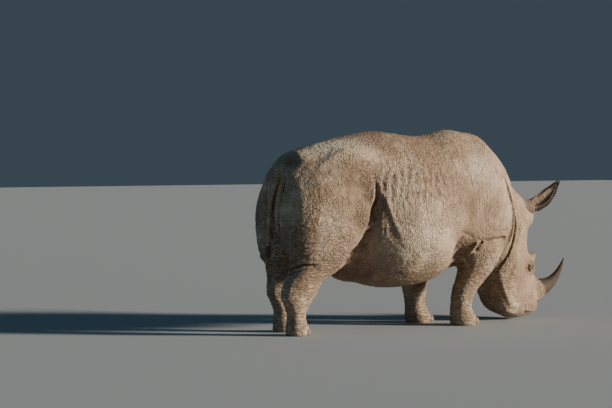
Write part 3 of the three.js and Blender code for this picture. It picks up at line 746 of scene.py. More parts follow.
def opening_shade_share(co):
    """1 in the nostrils and along the mouth, where the shade in the openings and under the lip is painted
    dark.
    """
    share = np.zeros(len(co))
    for sign in SIDES.values():
        share = np.maximum(share, 1 - ramp(far_from(co, on_side(NOSTRIL, sign)), 0.018, 0.042))
    for line in (MOUTH, [on_side(p, 1) for p in MOUTH]):
        for start, end in zip(line, line[1:]):
            for t in np.linspace(0, 1, 6):
                share = np.maximum(share, 1 - ramp(far_from(co, start.lerp(end, t)), 0.009, 0.020))
    return share


def region_values(skin):
    """What the hide's finish needs to know of each place, kept on the skin."""
    co, n, links = coords(skin), normals(skin), edges(skin)
    x, z = co[:, 0] - ZERO, co[:, 2]
    hollow = ((averaged(co, links, 4) - co) * n).sum(1)
    broad = ((averaged(co, links, 40) - co) * n).sum(1)
    loin = ramp(x, -0.40, -0.10) * (1 - ramp(x, 0.40, 0.75))
    ear = ramp(x, 1.60, 1.66) * ramp(np.abs(co[:, 1]), 0.17, 0.21) * ramp(z, 1.02, 1.08)
    inside, fringe = ear_shares(co, n)
    values = {
        **hide_areas(co),
        "worn": ramp(-hollow, 0.0003, 0.0020),
        # Painted shade: the upward-facing back is darkened, as the low light falls weakly on top.
        "above": ramp(n[:, 2], 0.3, 0.9) * ramp(z, 1.2, 1.5) * loin,
        # Pale patches: dust, and painted light on croup, hip and belly.
        "pale": patch_share(co, DUST_AND_PAINTED_LIGHT_PATCHES),
        # Brown patches: stains, and painted shade under the belly, in the groin and behind the shoulder.
        "brown": patch_share(co, EARTH_AND_PAINTED_SHADE_PATCHES),
        "collar": collar_share(co),
        "ear_inside": inside,
        "fringe": fringe,
        # Painted shade round the eyes.
        "lids": eye_shade_share(co),
        "muzzle": ramp(x, 1.55, 1.65) * (1 - ramp(z, 0.12, 0.30)),
        "ear": ear,
        # Painted shade in small creases and broad hollows, kept off the ears.
        "hollow": (ramp(hollow, 0.0002, 0.0022) + 0.7 * ramp(broad, 0.002, 0.014)) * (1 - ear),
        # Painted shade in the nostrils and along the mouth.
        "nostril": opening_shade_share(co),
    }
    for name, shares in values.items():
        set_attribute(skin, name, shares)


class Finish:
    """A material, with short ways to add and join its nodes."""

    def __init__(self, name):
        self.material = bpy.data.materials.new(name)
        self.material.use_nodes = True
        self.tree = self.material.node_tree
        self.shader = self.tree.nodes["Principled BSDF"]
        self.place = self.add("ShaderNodeTexCoord").outputs["Object"]

    def add(self, kind, inputs=None, **settings):
        """A node with its settings, and what feeds its inputs."""
        node = self.tree.nodes.new(kind)
        for key, value in settings.items():
            setattr(node, key, value)
        for key, value in (inputs or {}).items():
            self.feed(node.inputs[key], value)
        return node

    def feed(self, socket, value):
        if isinstance(value, bpy.types.NodeSocket):
            self.tree.links.new(value, socket)
        elif socket.type == "RGBA":
            socket.default_value = (*value[:3], 1)
        else:
            socket.default_value = value

    def held(self, name, share=1.0):
        """A value kept on the mesh, or a share of it."""
        value = self.add("ShaderNodeAttribute", attribute_name=name).outputs["Fac"]
        return value if share == 1 else self.times(value, share)

    def math(self, operation, a, b, clamp=False):
        return self.add("ShaderNodeMath", {0: a, 1: b}, operation=operation, use_clamp=clamp).outputs[0]

    def times(self, a, b):
        return self.math("MULTIPLY", a, b)

    def plus(self, a, b, clamp=False):
        return self.math("ADD", a, b, clamp)

    def rest(self, a):
        """What a share leaves of 1."""
        return self.math("SUBTRACT", 1.0, a)

    def stretched(self, scale, warp=0.0, bends=5.0):
        """The place, scaled each way, and pushed about a little so that no line runs straight."""
        source = self.place
        if warp:
            wander = self.add("ShaderNodeTexNoise", {"Vector": self.place, "Scale": bends})
            push = {0: wander.outputs["Color"], 1: (warp,) * 3, 2: self.place}
            source = self.add("ShaderNodeVectorMath", push, operation="MULTIPLY_ADD").outputs[0]
        return self.add("ShaderNodeVectorMath", {0: source, 1: scale}, operation="MULTIPLY").outputs[0]

    def noise(self, scale, detail=3.0, rough=0.55, vector=None):
        inputs = {"Vector": vector or self.place, "Scale": scale, "Detail": detail, "Roughness": rough}
        return self.add("ShaderNodeTexNoise", inputs).outputs["Fac"]

    def cells(self, scale, vector):
        """How far each place lies from the edge of its cell."""
        inputs = {"Vector": vector, "Scale": scale}
        return self.add("ShaderNodeTexVoronoi", inputs, feature="DISTANCE_TO_EDGE").outputs["Distance"]

    def ridges(self, scale, warp, width):
        """Winding creases between soft ridges: 0 in a crease, 1 on a ridge."""
        waves = self.noise(1, 2.5, 0.5, self.stretched(scale, warp))
        return self.between(self.math("ABSOLUTE", self.math("SUBTRACT", waves, 0.5), 0.0), 0.0, width)

    def total(self, *shares):
        whole = 0.0
        for value, share in shares:
            whole = self.plus(whole, self.times(value, share))
        return whole

    def between(self, value, low, high, to_low=0.0, to_high=1.0):
        """A smooth step from to_low, before low, to to_high, past high."""
        inputs = {"Value": value, "From Min": low, "From Max": high, "To Min": to_low, "To Max": to_high}
        return self.add("ShaderNodeMapRange", inputs, interpolation_type="SMOOTHSTEP").outputs["Result"]

    def mix(self, factor, a, b):
        return self.add("ShaderNodeMix", {0: factor, 6: a, 7: b}, data_type="RGBA").outputs[2]

    def bump(self, height, distance, strength=1.0, normal=None):
        inputs = {"Height": height, "Distance": distance, "Strength": strength}
        if normal:
            inputs["Normal"] = normal
        return self.add("ShaderNodeBump", inputs).outputs["Normal"]

    def set(self, **values):
        for name, value in values.items():
            self.feed(self.shader.inputs[name.replace("_", " ")], value)


# Dark marks of the head: where they are kept, how strong they are, and their colours. The ear's cup and the
# fringe of hair along it are the ear's own colours; the dark round the eyes and in the nostrils and mouth is
# painted shade.
HEAD_MARKS = (
    ("ear_inside", 0.75, (0.27, 0.19, 0.13)),
    ("fringe", 0.9, (0.035, 0.026, 0.02)),
    ("lids", 0.88, (0.045, 0.030, 0.022)),
    ("nostril", 0.92, (0.045, 0.028, 0.022)),
)


# How close wrinkles lie each way, where they are kept, and how far they stand up.
HIDE_WRINKLES = (((10, 10, 68), "level_wrinkles", 0.6), ((46, 30, 8), "upright_wrinkles", 0.7))


def hide_relief(f, fibres):
    """The height of the hide's pebbles and creases, and how dark their grooves are painted: partly dried
    earth, partly painted shade in the creases and hollows.
    """
    wandering = f.stretched((1, 1, 1.15), 0.016, 21)
    cells = f.between(f.cells(27, wandering), 0.0, 0.20)
    small_cells = f.between(f.cells(61, wandering), 0.0, 0.26)
    creases = f.ridges((31, 31, 38), 0.02, 0.11)
    patchy = f.between(f.noise(3.8, 4, 0.65), 0.38, 0.58, 0.22, 1.0)
    strength = f.times(f.held("pebbles"), patchy)
    pebbled = f.total((cells, 0.34), (creases, 0.42), (small_cells, 0.24))
    height = f.plus(f.times(pebbled, strength), f.times(f.noise(24, 3, 0.6), 0.75))
    groove_dirt_and_shade = f.times(f.rest(pebbled), strength)
    for scale, place, raised in HIDE_WRINKLES:
        wrinkles = f.ridges(scale, 0.05, 0.10)
        height = f.plus(height, f.times(wrinkles, f.held(place, raised)))
        groove_dirt_and_shade = f.plus(groove_dirt_and_shade, f.times(f.rest(wrinkles), f.held(place, 0.5)))
    height = f.plus(height, f.times(fibres, f.held("collar", 1.8)))
    groove_dirt_and_shade = f.times(groove_dirt_and_shade, f.rest(f.held("pale", 0.6)))
    # The painted shade of the hollows joins the dark of the grooves.
    return height, f.plus(f.times(groove_dirt_and_shade, 0.78), f.held("hollow", 0.45), clamp=True)


def hide_colour(f, settings, groove_dirt_and_shade, fibres):
    """The hide's colours, each laid over those before it."""
    streaks = f.noise(1, 4, 0.65, f.stretched((30, 30, 10), 0.05))
    muzzle = f.noise(1, 3, 0.6, f.stretched((60, 60, 14), 0.04))
    dusty = f.noise(3.3, 5, 0.65, f.stretched((1, 1, 0.7), 0.1))
    blotches = f.between(f.noise(13, 5, 0.68), 0.43, 0.60, 0.0, 0.75)
    brown = [0.35 * a + 0.65 * b for a, b in zip(settings.stain_and_shade, settings.mud_and_shade)]
    collar = f.mix(fibres, settings.stain_and_shade, lighter(settings.dust, 1.12))
    layers = (
        (f.between(f.noise(4.6, 6, 0.70), 0.46, 0.62, 0.0, 0.80), settings.stain_and_shade),
        (f.between(f.noise(42, 3, 0.6), 0.54, 0.68, 0.0, 0.42), settings.mud_and_shade),
        # Painted shade on the upward-facing back.
        (f.held("above", 0.80), settings.stain_and_shade),
        (f.held("worn", 0.40), settings.dust),
        (f.times(blotches, f.rest(f.held("pebbles", 0.6))), settings.stain_and_shade),
        (f.times(f.between(streaks, 0.42, 0.60, 0.0, 0.75), f.held("face")), settings.stain_and_shade),
        (f.times(f.between(muzzle, 0.44, 0.62, 0.0, 0.8), f.held("muzzle")), settings.mud_and_shade),
        (f.between(dusty, 0.52, 0.66, 0.0, 0.50), settings.pale),
        # Brown patches: stains, and painted shade under the belly, in the groin and behind the shoulder.
        (f.times(f.held("brown"), f.between(f.noise(11, 4, 0.65), 0.36, 0.60, 0.55, 1.0)), brown),
        # Pale patches: dust, and painted light on croup, hip and belly.
        (f.held("pale"), settings.pale),
        # Mud, and painted shade, in the grooves, creases and hollows.
        (groove_dirt_and_shade, settings.mud_and_shade),
        (f.held("face", 0.10), settings.grey),
        (f.held("ear", 0.75), lighter(settings.grey, 1.12)),
        (f.held("collar", 0.8), collar),
        *((f.held(mark, strength), shade) for mark, strength, shade in HEAD_MARKS),
    )
    clouds = f.between(f.noise(1.9, 5, 0.62), 0.34, 0.66)
    colour = f.mix(clouds, settings.hide, settings.dust)
    for share, shade in layers:
        colour = f.mix(share, colour, shade)
    return colour


def hide_finish(settings):
    f = Finish("hide")
    fibres = f.ridges((70, 70, 16), 0.02, 0.12)
    height, groove_dirt_and_shade = hide_relief(f, fibres)
    grain = f.noise(170, 3, 0.6)
    normal = f.bump(grain, 0.0016, 0.6, f.bump(height, 0.0105))
    f.set(Base_Color=hide_colour(f, settings, groove_dirt_and_shade, fibres), Normal=normal)
    f.set(Roughness=f.between(grain, 0.3, 0.7, 0.80, 0.96), Specular_IOR_Level=0.22)
    return f.material


CUP_FLOOR = 0.016  # above the ear's line
# Where the tail and the ears leave the body: place, radius, and rounds of easing.
ROOTS = (
    (at(-1.02, 0, 1.42), 0.15, 30),
    *((in_head(0.135, 0.06, sign * 0.175), 0.07, 10) for sign in SIDES.values()),
)


def cup_filled(co, n, name):
    """Raises the floor of an ear's cup, so that it lies open to the light."""
    line, mouth = ear_rim(name, SIDES[name])
    shares = np.linspace(0, 1, 40)
    marks = np.array([line(t) for t in shares])
    wide = np.array([steady(EAR_WIDTH, 1)(t) for t in shares])
    nearest = np.linalg.norm(co[:, None] - marks[None], axis=2).argmin(1)
    off = co - marks[nearest]
    level = off @ np.array(mouth)
    out = np.linalg.norm(off - np.outer(level, np.array(mouth)), axis=1) / wide[nearest]
    floor = ramp(n @ np.array(mouth), -0.3, 0.2) * (1 - ramp(level, 0.004, CUP_FLOOR))
    floor = floor * (1 - ramp(out, 0.70, 0.92))
    co += np.outer(floor * 0.85 * (CUP_FLOOR - level), np.array(mouth))


def rooted(skin):
    """Eases the corners where the tail and the ears leave the body."""
    co, links = coords(skin), edges(skin)
    for place, radius, rounds in ROOTS:
        smooth = averaged(co, links, rounds)
        inside = 1 - ramp(far_from(co, place), radius * 0.6, radius * 1.4)
        co += (smooth - co) * inside[:, None]
    put(skin, co)


class RHINO_OT_skin(bpy.types.Operator):
    """Joins the flesh into one skin and works its folds in"""

    bl_idname = "rhino.skin"
    bl_label = "Skin"

    def execute(self, context):
        settings = context.scene.rhino_skin
        skin = joined_flesh(settings.rough_grain, settings.grain)
        folded(skin)
        wrinkled(skin)
        headed(skin)
        parts = []
        for name in ("tail", "ear_right", "ear_left"):
            part = copy_of(name)
            remesh(part, 0.004)
            co = eased(coords(part), edges(part), 6)
            if name == "tail":
                co[:, 1] *= 1 + 1.3 * ramp(co[:, 2], 1.10, 1.42)
            else:
                cup_filled(co, normals(part), name[4:])
            put(part, co)
            parts.append(part)
        for part in parts:
            add_modifier(skin, "BOOLEAN", operation="UNION", solver="MANIFOLD", object=part)
            bpy.data.objects.remove(part)
        rooted(skin)
        count = sum(len(f.vertices) - 2 for f in skin.data.polygons)
        if count > settings.triangles:
            add_modifier(skin, "DECIMATE", ratio=settings.triangles / count, use_collapse_triangulate=True)
        finished(skin, hide_finish(settings), FLESH)
        region_values(skin)
        return {"FINISHED"}


# ---------------------------------------------------------------- horns
class RhinoHornSettings(bpy.types.PropertyGroup):
    sides: bpy.props.IntProperty(name="Sides", description="Points round a horn", default=56, min=12)
    core: colour_setting("Horn", "Colour of the horn", (0.040, 0.026, 0.016))
    root: colour_setting("Root", "Colour of the fibrous skin round its root", (0.30, 0.215, 0.145))


def bezier(a, b, c):
    return lambda t: a * (1 - t) ** 2 + b * 2 * t * (1 - t) + c * t**2


def steady(table, column):
    """A value that changes steadily between the table's rows."""
    places = [row[0] for row in table]
    values = [row[column] for row in table]
    return lambda t: float(np.interp(t, places, values))


RING_STEP = 0.01  # between a horn's rings, before they are laid along its line
# Sizes: share along the horn, half its width, half its depth. Pale: how far the skin's colour covers it.
FRONT_HORN = {
    "line": bezier(in_head(0.975, 0.002), in_head(1.058, 0.264), at(2.290, 0, 0.560)),
    "sizes": ((0, 0.084, 0.092), (0.14, 0.081, 0.089), (0.32, 0.062, 0.068), (0.5, 0.044, 0.048),
              (0.72, 0.027, 0.029), (0.88, 0.015, 0.015), (1, 0.004, 0.004)),
    "rings": 90,
    "pale": 0.0,
}
REAR_HORN = {
    "line": bezier(in_head(0.692, 0.0), in_head(0.680, 0.070), in_head(0.652, 0.122)),
    "sizes": ((0, 0.062, 0.070), (0.4, 0.048, 0.052), (0.75, 0.028, 0.028), (1, 0.009, 0.009)),
    "rings": 36,
    "pale": 0.9,
}


def drawn_horn(name, horn, sides):
    """A disc at the root, extruded ring by ring along the horn's line, each ring sized and turned to it."""
    line, sizes, rings = horn["line"], horn["sizes"], horn["rings"]
    wide, deep = steady(sizes, 1), steady(sizes, 2)
    ob = primitive("circle", vertices=sides, radius=1, fill_type="NGON", location=(0, 0, 0))
    ob.name = name
    ob.data.name = name
    with editing(ob):
        for _ in range(rings):
            bpy.ops.mesh.extrude_region_move(TRANSFORM_OT_translate={"value": (0, 0, RING_STEP)})
    co = coords(ob)
    turn = np.arctan2(co[:, 1], co[:, 0])
    ring = np.round(co[:, 2] / RING_STEP) / rings
    shaped = np.empty_like(co)
    for t in np.unique(ring):
        here = ring == t
        tangent = (line(min(t + 0.01, 1)) - line(max(t - 0.01, 0))).normalized()
        over = tangent.cross(Vector((0, 1, 0)))
        fibres = 0.010 * np.sin(turn[here] * 23 + 4 * np.sin(turn[here] * 3)) * (1 - 0.8 * t)
        ridge = 0.016 * math.sin(t * 120 + 2 * math.sin(t * 31)) * max(0, 1 - t / 0.45)
        skirt = 0.07 * max(0, 1 - t / 0.10) ** 2
        frayed = skirt * 0.5 * np.sin(turn[here] * 17 + 2.0)
        grow = 1 + fibres + ridge + skirt + frayed
        side = np.cos(turn[here]) * grow * deep(t)
        out = np.sin(turn[here]) * grow * wide(t)
        shaped[here] = np.array(line(t)) + np.outer(side, over) + np.outer(out, (0, 1, 0))
    put(ob, shaped)
    with editing(ob):
        bpy.ops.mesh.normals_make_consistent(inside=False)
    set_attribute(ob, "along", ring)
    set_attribute(ob, "round", np.abs(turn) / math.pi)
    set_attribute(ob, "pale", np.full(len(co), horn["pale"]))
    return ob


def horn_finish(settings):
    f = Finish("horn")
    along, turn = f.held("along"), f.held("round")
    lengthwise = f.add("ShaderNodeCombineXYZ", {"X": f.times(turn, 34), "Y": f.times(along, 5)})
    fibres = f.noise(1, 4, 0.6, lengthwise.outputs["Vector"])
    blotches = f.noise(16, 4, 0.6)
    root = f.between(f.math("SUBTRACT", along, f.times(turn, 0.17)), -0.02, 0.09, 1.0, 0.0)
    root = f.math("MAXIMUM", root, f.held("pale"))
    root = f.times(root, f.between(blotches, 0.25, 0.6, 0.62, 1.0))
    colour = f.mix(f.between(fibres, 0.35, 0.68), settings.core, lighter(settings.core, 1.75))
    colour = f.mix(f.between(blotches, 0.50, 0.75, 0.0, 0.4), colour, lighter(settings.core, 2.4))
    colour = f.mix(root, colour, settings.root)
    colour = f.mix(f.between(along, 0.60, 1.0, 0.0, 0.35), colour, lighter(settings.core, 2.2))
    height = f.plus(fibres, f.times(f.noise(60, 3), 0.5))
    f.set(Base_Color=colour, Normal=f.bump(height, 0.005))
    f.set(Roughness=f.between(fibres, 0.3, 0.7, 0.58, 0.80), Specular_IOR_Level=0.3)
    return f.material


class RHINO_OT_horns(bpy.types.Operator):
    """Draws out the long front horn and the short rear one"""

    bl_idname = "rhino.horns"
    bl_label = "Horns"

    def execute(self, context):
        settings = context.scene.rhino_horns
        finish = horn_finish(settings)
        for name, horn in (("front", FRONT_HORN), ("rear", REAR_HORN)):
            ob = drawn_horn(f"{name}_horn", horn, settings.sides)
            finished(ob, finish, [f"horn_{name}"])
        return {"FINISHED"}


# ---------------------------------------------------------------- eyes
class RhinoEyeSettings(bpy.types.PropertyGroup):
    iris: colour_setting("Iris", "Colour of the iris", (0.040, 0.020, 0.010))


PUPIL_COLOUR = (0.004, 0.003, 0.003)
EYE_WHITE_COLOUR = (0.09, 0.055, 0.04)
IRIS_REACH = 38  # degrees from the way the eye looks
CORNEA = {"rise": 0.07, "reach": 30}  # of the ball's radius, and degrees


def eye_finish(settings):
    f = Finish("eye")
    ring = f.held("ring")
    streaks = f.noise(300, 2)
    colour = f.mix(streaks, settings.iris, lighter(settings.iris, 2.2))
    colour = f.mix(f.between(ring, 0.50, 0.56), PUPIL_COLOUR, colour)
    colour = f.mix(f.between(ring, 0.92, 1.04), colour, EYE_WHITE_COLOUR)
    f.set(Base_Color=colour, Roughness=0.06, Coat_Weight=0.6, Coat_Roughness=0.03)
    return f.material


class RHINO_OT_eyes(bpy.types.Operator):
    """Sets a ball with its cornea, iris and pupil in each eye"""

    bl_idname = "rhino.eyes"
    bl_label = "Eyes"

    def execute(self, context):
        finish = eye_finish(context.scene.rhino_eyes)
        for name, sign in SIDES.items():
            centre, radius = eye_place(name)
            ball = primitive("uv_sphere", segments=40, ring_count=24, radius=radius, location=centre)
            ball.name = f"eyeball_{name}"
            bpy.ops.object.transform_apply(location=True, rotation=False, scale=False)
            look = Vector((EYE_LOOK.x, sign * EYE_LOOK.y, EYE_LOOK.z))
            co = coords(ball)
            way = (co - np.array(centre)) / radius
            off = np.degrees(np.arccos(np.clip(way @ np.array(look), -1, 1)))
            bulge = CORNEA["rise"] * np.exp(-((off / CORNEA["reach"]) ** 4))
            put(ball, co + way * (bulge * radius)[:, None])
            set_attribute(ball, "ring", off / IRIS_REACH)
            finished(ball, finish, [f"eye_{name}"])
        return {"FINISHED"}


# ---------------------------------------------------------------- toenails
class RhinoNailSettings(bpy.types.PropertyGroup):
    nail: colour_setting("Nail", "Colour of the nails", (0.19, 0.15, 0.11))


def nail_finish(settings):
    f = Finish("nail")
    bands = f.noise(1, 3, 0.6, f.stretched((30, 30, 160)))
    scuffs = f.noise(70, 4, 0.65)
    colour = f.mix(f.between(bands, 0.35, 0.65), lighter(settings.nail, 0.6), settings.nail)
    colour = f.mix(f.between(scuffs, 0.55, 0.72, 0.0, 0.6), colour, lighter(settings.nail, 1.5))
    height = f.plus(bands, f.times(scuffs, 0.4))
    f.set(Base_Color=colour, Normal=f.bump(height, 0.0015, 0.7))
    f.set(Roughness=f.between(scuffs, 0.3, 0.7, 0.45, 0.8))
    return f.material


class RHINO_OT_nails(bpy.types.Operator):
    """Rounds the three nails of each foot"""

    bl_idname = "rhino.nails"
    bl_label = "Toenails"

    def execute(self, context):
        finish = nail_finish(context.scene.rhino_nails)
        for leg in LEGS:
            for toe in TOES:
                node = f"toenail_{leg[4:]}_{toe}"
                nail = copy_of(node)
                nail.name = f"nail_{leg[4:]}_{toe}"
                remesh(nail, 0.003)
                put(nail, eased(coords(nail), edges(nail), 8))
                with editing(nail):
                    bpy.ops.transform.shrink_fatten(value=0.002)
                finished(nail, finish, [node])
        return {"FINISHED"}


# ---------------------------------------------------------------- hairs
class RhinoHairSettings(bpy.types.PropertyGroup):
    hair: colour_setting("Hair", "Colour of the bristles of the ears", (0.024, 0.018, 0.014))
    # Tail hair: paler than the real dark bristles, partly dust and partly painted light on a tail that hangs
    # in shade.
    tuft_hair_dust_and_light: colour_setting("Tail hair", "Colour of the dusty bristles of the tail", (0.11, 0.08, 0.058))
    tail_locks: bpy.props.IntProperty(
        name="Locks on the tail", description="Locks in the tuft", default=170, min=20,
    )
    ear_locks: bpy.props.IntProperty(
        name="Locks on an ear", description="Locks along its rim", default=620, min=20,
    )


LOCK_SPANS = 6
TAIL_LOCK_WIDTH = 0.0024
EAR_LOCK_WIDTH = 0.0016


def lock_shape():
    """One lock, root at zero and a metre long up Z: a cone cut into spans that narrow to a point."""
    ob = primitive("cone", vertices=4, radius1=1, radius2=0.06, depth=1, location=(0, 0, 0.5))
    bpy.ops.object.transform_apply(location=True, rotation=False, scale=False)
    with editing(ob):
        for k in range(1, LOCK_SPANS):
            bpy.ops.mesh.select_all(action="SELECT")
            bpy.ops.mesh.bisect(plane_co=(0, 0, k / LOCK_SPANS), plane_no=(0, 0, 1))
    co = coords(ob)
    swell = 1 + 0.8 * np.sin(np.clip(co[:, 2], 0, 1) * math.pi)
    co[:, :2] *= swell[:, None]
    faces = [tuple(f.vertices) for f in ob.data.polygons]
    bpy.data.objects.remove(ob)
    return co, faces


def grown_locks(name, roots, thick, seed):
    """Copies of one lock. Each root gives its place, way, length, bend and place on the map."""
    shape, faces = lock_shape()
    rng = np.random.default_rng(seed)
    points, polygons, tints, maps = [], [], [], []
    for place, way, length, bend, spot in roots:
        way = way.normalized()
        side = way.orthogonal().normalized()
        other = way.cross(side)
        turn = rng.uniform(0, math.pi)
        wide = thick * rng.uniform(0.7, 1.3)
        u = side * math.cos(turn) + other * math.sin(turn)
        v = way.cross(u)
        t = shape[:, 2]
        wave = rng.uniform(-0.06, 0.06) * length
        lock = (
            np.outer(shape[:, 0] * wide, u)
            + np.outer(shape[:, 1] * wide * 0.6, v)
            + np.outer(t * length, way)
            + np.outer(t**2 * length, bend)
            + np.outer(np.sin(t * 5) * wave * t, u)
            + np.array(place)
        )
        first = len(points) * len(shape)
        points.append(lock)
        polygons += [tuple(first + i for i in face) for face in faces]
        tints.append(np.full(len(shape), rng.uniform(0, 1)))
        maps.append(np.stack([spot[0] + shape[:, 0] * 0.0004, spot[1] + (t - 0.5) * 0.003], 1))
    mesh = bpy.data.meshes.new(name)
    mesh.from_pydata(np.concatenate(points).tolist(), [], polygons)
    ob = bpy.data.objects.new(name, mesh)
    bpy.context.scene.collection.objects.link(ob)
    set_attribute(ob, "tint", np.concatenate(tints))
    layer = mesh.uv_layers.new(name="OFBake")
    corners = np.empty(len(mesh.loops), np.int64)
    mesh.loops.foreach_get("vertex_index", corners)
    layer.uv.foreach_set("vector", np.concatenate(maps)[corners].ravel().astype(np.float32))
    return ob


HAIR_DUST_COLOUR = (0.16, 0.12, 0.085)


def hair_finish(name, dark, lightest):
    """Hairs from a dark colour to one so many times as light, with dust on some."""
    f = Finish(name)
    colour = f.mix(f.held("tint"), dark, lighter(dark, lightest))
    colour = f.mix(f.between(f.noise(45, 3), 0.5, 0.75, 0.0, 0.35), colour, HAIR_DUST_COLOUR)
    f.set(Base_Color=colour, Normal=f.bump(f.noise(260, 2), 0.0006, 0.6), Roughness=0.62)
    return f.material


TUFT_TOP, TUFT_END = at(-1.148, 0, 0.775), at(-1.146, 0, 0.612)


def tuft_roots(count):
    """Bristles down both edges of the tail's last hand's breadth, longest at its tip."""
    rng = np.random.default_rng(5)
    for _ in range(count):
        t = rng.uniform(0, 1) ** 1.3
        turn = rng.uniform(0, 2 * math.pi)
        wide = 0.016 * (1 - 0.6 * t)
        out = Vector((0.7 * math.cos(turn), math.sin(turn), 0))
        place = TUFT_TOP + Vector((0, 0, 0.05 - 0.07 * t)) + out * wide
        length = 0.07 + 0.065 * rng.uniform(0.6, 1.0)
        way = Vector((0, 0, -1)) + out * rng.uniform(0.05, 0.30)
        bend = -out * rng.uniform(0.02, 0.16)
        yield place, way, length, bend, (0.1 + 0.3 * turn / (2 * math.pi), 0.1 + 0.3 * t)


def ear_rim(name, sign):
    """The ear's line from its root to its tip, and the way its mouth looks."""
    tip = {"right": at(1.925, -0.305, 1.298), "left": at(1.850, 0.375, 1.325)}[name]
    root = in_head(0.135, -0.012, sign * 0.122)
    axis = (tip - root).normalized()
    mouth = Vector((0, sign * 0.9, 0)) - HEAD_UP * 0.5 + HEAD_ALONG * 0.1
    mouth = (mouth - axis * mouth.dot(axis)).normalized()
    middle = root + (tip - root) * 0.5 - mouth * 0.012 - Vector((0, 0, 0.150))
    return bezier(root, middle, tip), mouth


def lower_side(tangent, mouth):
    """The way across an ear to its lower margin."""
    across = tangent.cross(mouth)
    return across if across.z < 0 else -across


# Share along the ear, half its width.
EAR_WIDTH = (
    (0, 0.078), (0.22, 0.072), (0.42, 0.068), (0.6, 0.073), (0.78, 0.058), (0.92, 0.028), (1, 0.007),
)


def ear_roots(name, sign, count):
    """Bristles along both margins of the ear, longest round its tip."""
    line, mouth = ear_rim(name, sign)
    wide = steady(EAR_WIDTH, 1)
    rng = np.random.default_rng(11 + sign)
    for _ in range(count):
        t = 1 - 0.62 * rng.uniform(0, 1) ** 1.3
        edge = 1 if t < 0.72 else rng.choice((-1, 1))
        tangent = (line(min(t + 0.02, 1)) - line(t - 0.02)).normalized()
        across = lower_side(tangent, mouth) * edge
        place = line(t) + across * (wide(t) * rng.uniform(0.86, 0.97)) + mouth * rng.uniform(-0.004, 0.016)
        near_tip = max(0, (t - 0.75) / 0.25)
        way = tangent * (0.75 + 0.7 * near_tip) + across * (0.45 - 0.3 * near_tip)
        way = way + mouth * rng.uniform(0, 0.5)
        length = (0.020 + 0.009 * near_tip) * rng.uniform(0.6, 1.1)
        spot = (0.55 + 0.35 * (0.5 + edge * 0.4), 0.1 + 0.8 * t)
        yield place, way, length, tangent * rng.uniform(0, 0.3), spot


class RHINO_OT_tail_tuft(bpy.types.Operator):
    """Grows the bristles of the tail's tuft"""

    bl_idname = "rhino.tail_tuft"
    bl_label = "Tail tuft"

    def execute(self, context):
        settings = context.scene.rhino_hairs
        ob = grown_locks("tail_bristles", tuft_roots(settings.tail_locks), TAIL_LOCK_WIDTH, 3)
        finished(ob, hair_finish("tuft_hair_dust_and_light", settings.tuft_hair_dust_and_light, 1.8), ["tail_tuft"])
        return {"FINISHED"}


class RHINO_OT_ear_fringes(bpy.types.Operator):
    """Grows the dark fringe along each ear"""

    bl_idname = "rhino.ear_fringes"
    bl_label = "Ear fringes"

    def execute(self, context):
        settings = context.scene.rhino_hairs
        finish = hair_finish("ear_hair", settings.hair, 3.2)
        for name, sign in SIDES.items():
            roots = ear_roots(name, sign, settings.ear_locks)
            ob = grown_locks(f"ear_fringe_{name}", roots, EAR_LOCK_WIDTH, 7 + sign)
            finished(ob, finish, [])
        return {"FINISHED"}


# ---------------------------------------------------------------- the stage
UP = Vector((0, 0, 1))
# The animal's frame as the camera sees it: what lies to its right and straight ahead, on the level.
TO_RIGHT = Vector((0.8192, -0.5736, 0))
AHEAD = Vector((0.5736, 0.8192, 0))
CAMERA = {"place": (-10.843, -13.610, 1.6), "pitch": math.radians(1.63), "lens": 111.76, "sensor": 36}
# Each sun's name, way to it, strength, spread in degrees and colour.
SUNS = (
    ("key", TO_RIGHT * 0.966 - AHEAD * 0.115 + UP * 0.235, 7.6, 7, (1.0, 0.90, 0.76)),
    ("fill", UP * 0.45 - TO_RIGHT * 0.80 - AHEAD * 0.40, 0.30, 60, (0.12, 0.60, 1.0)),
)
SKY = {"colour": (0.52, 0.76, 0.95, 1), "strength": 0.088}
FLOOR = {"size": 120, "colour": (0.33, 0.355, 0.38, 1), "roughness": 0.95}


def laid_floor():
    floor = primitive("plane", size=FLOOR["size"], location=(0, 0, 0))
    floor.name = "floor"
    material = bpy.data.materials.new("floor")
    material.use_nodes = True
    shader = material.node_tree.nodes["Principled BSDF"]
    shader.inputs["Base Color"].default_value = FLOOR["colour"]
    shader.inputs["Roughness"].default_value = FLOOR["roughness"]
    floor.data.materials.append(material)


def set_camera():
    bpy.ops.object.camera_add(location=CAMERA["place"])
    camera = bpy.context.active_object
    look = AHEAD * math.cos(CAMERA["pitch"]) - Vector((0, 0, math.sin(CAMERA["pitch"])))
    camera.rotation_mode = "QUATERNION"
    turned = Matrix((TO_RIGHT, TO_RIGHT.cross(look), -look)).transposed()
    camera.rotation_quaternion = turned.to_quaternion()
    camera.data.sensor_width = CAMERA["sensor"]
    camera.data.lens = CAMERA["lens"]
    camera.data.clip_end = 200
    bpy.context.scene.camera = camera


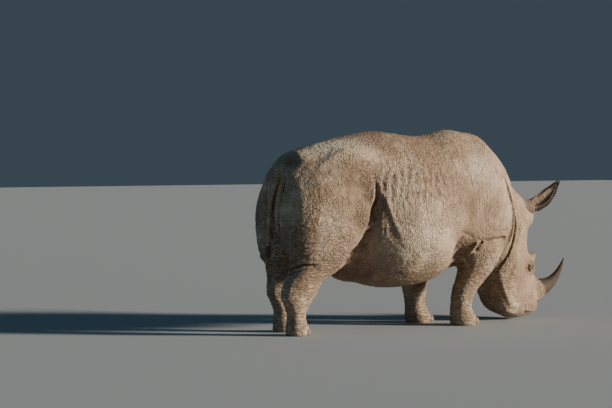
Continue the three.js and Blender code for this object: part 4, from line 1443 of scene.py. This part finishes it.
def add_sun(name, way, energy, spread, colour):
    bpy.ops.object.light_add(type="SUN", location=way.normalized() * 10)
    light = bpy.context.active_object
    light.name = name
    light.rotation_mode = "QUATERNION"
    light.rotation_quaternion = way.to_track_quat("Z", "Y")
    light.data.energy = energy
    light.data.angle = math.radians(spread)
    light.data.color = colour


class RHINO_OT_stage(bpy.types.Operator):
    """Adds the floor, the lights and the camera"""

    bl_idname = "rhino.stage"
    bl_label = "Stage"

    def execute(self, context):
        laid_floor()
        set_camera()
        for sun in SUNS:
            add_sun(*sun)
        world = bpy.data.worlds.new("studio")
        world.use_nodes = True
        background = world.node_tree.nodes["Background"]
        background.inputs["Color"].default_value = SKY["colour"]
        background.inputs["Strength"].default_value = SKY["strength"]
        context.scene.world = world
        return {"FINISHED"}


class RHINO_PT_panel(bpy.types.Panel):
    """Lists the pieces of the rhinoceros"""

    bl_label = "White rhinoceros"
    bl_idname = "RHINO_PT_panel"
    bl_space_type = "VIEW_3D"
    bl_region_type = "UI"
    bl_category = "Rhinoceros"

    def draw(self, context):
        for operator in OPERATORS:
            self.layout.operator(operator.bl_idname)


OPERATORS = (
    RHINO_OT_skin,
    RHINO_OT_horns,
    RHINO_OT_eyes,
    RHINO_OT_nails,
    RHINO_OT_tail_tuft,
    RHINO_OT_ear_fringes,
    RHINO_OT_stage,
)
SETTINGS = {
    "rhino_skin": RhinoSkinSettings,
    "rhino_horns": RhinoHornSettings,
    "rhino_eyes": RhinoEyeSettings,
    "rhino_nails": RhinoNailSettings,
    "rhino_hairs": RhinoHairSettings,
}
CLASSES = (*SETTINGS.values(), *OPERATORS, RHINO_PT_panel)


def register():
    for cls in CLASSES:
        bpy.utils.register_class(cls)
    for name, group in SETTINGS.items():
        setattr(bpy.types.Scene, name, bpy.props.PointerProperty(type=group))


def unregister():
    for name in SETTINGS:
        delattr(bpy.types.Scene, name)
    for cls in reversed(CLASSES):
        bpy.utils.unregister_class(cls)


def main():
    register()
    bpy.ops.rhino.skin()
    bpy.ops.rhino.horns()
    bpy.ops.rhino.eyes()
    bpy.ops.rhino.nails()
    bpy.ops.rhino.tail_tuft()
    bpy.ops.rhino.ear_fringes()
    bpy.ops.rhino.stage()


if __name__ == "__main__":
    main()
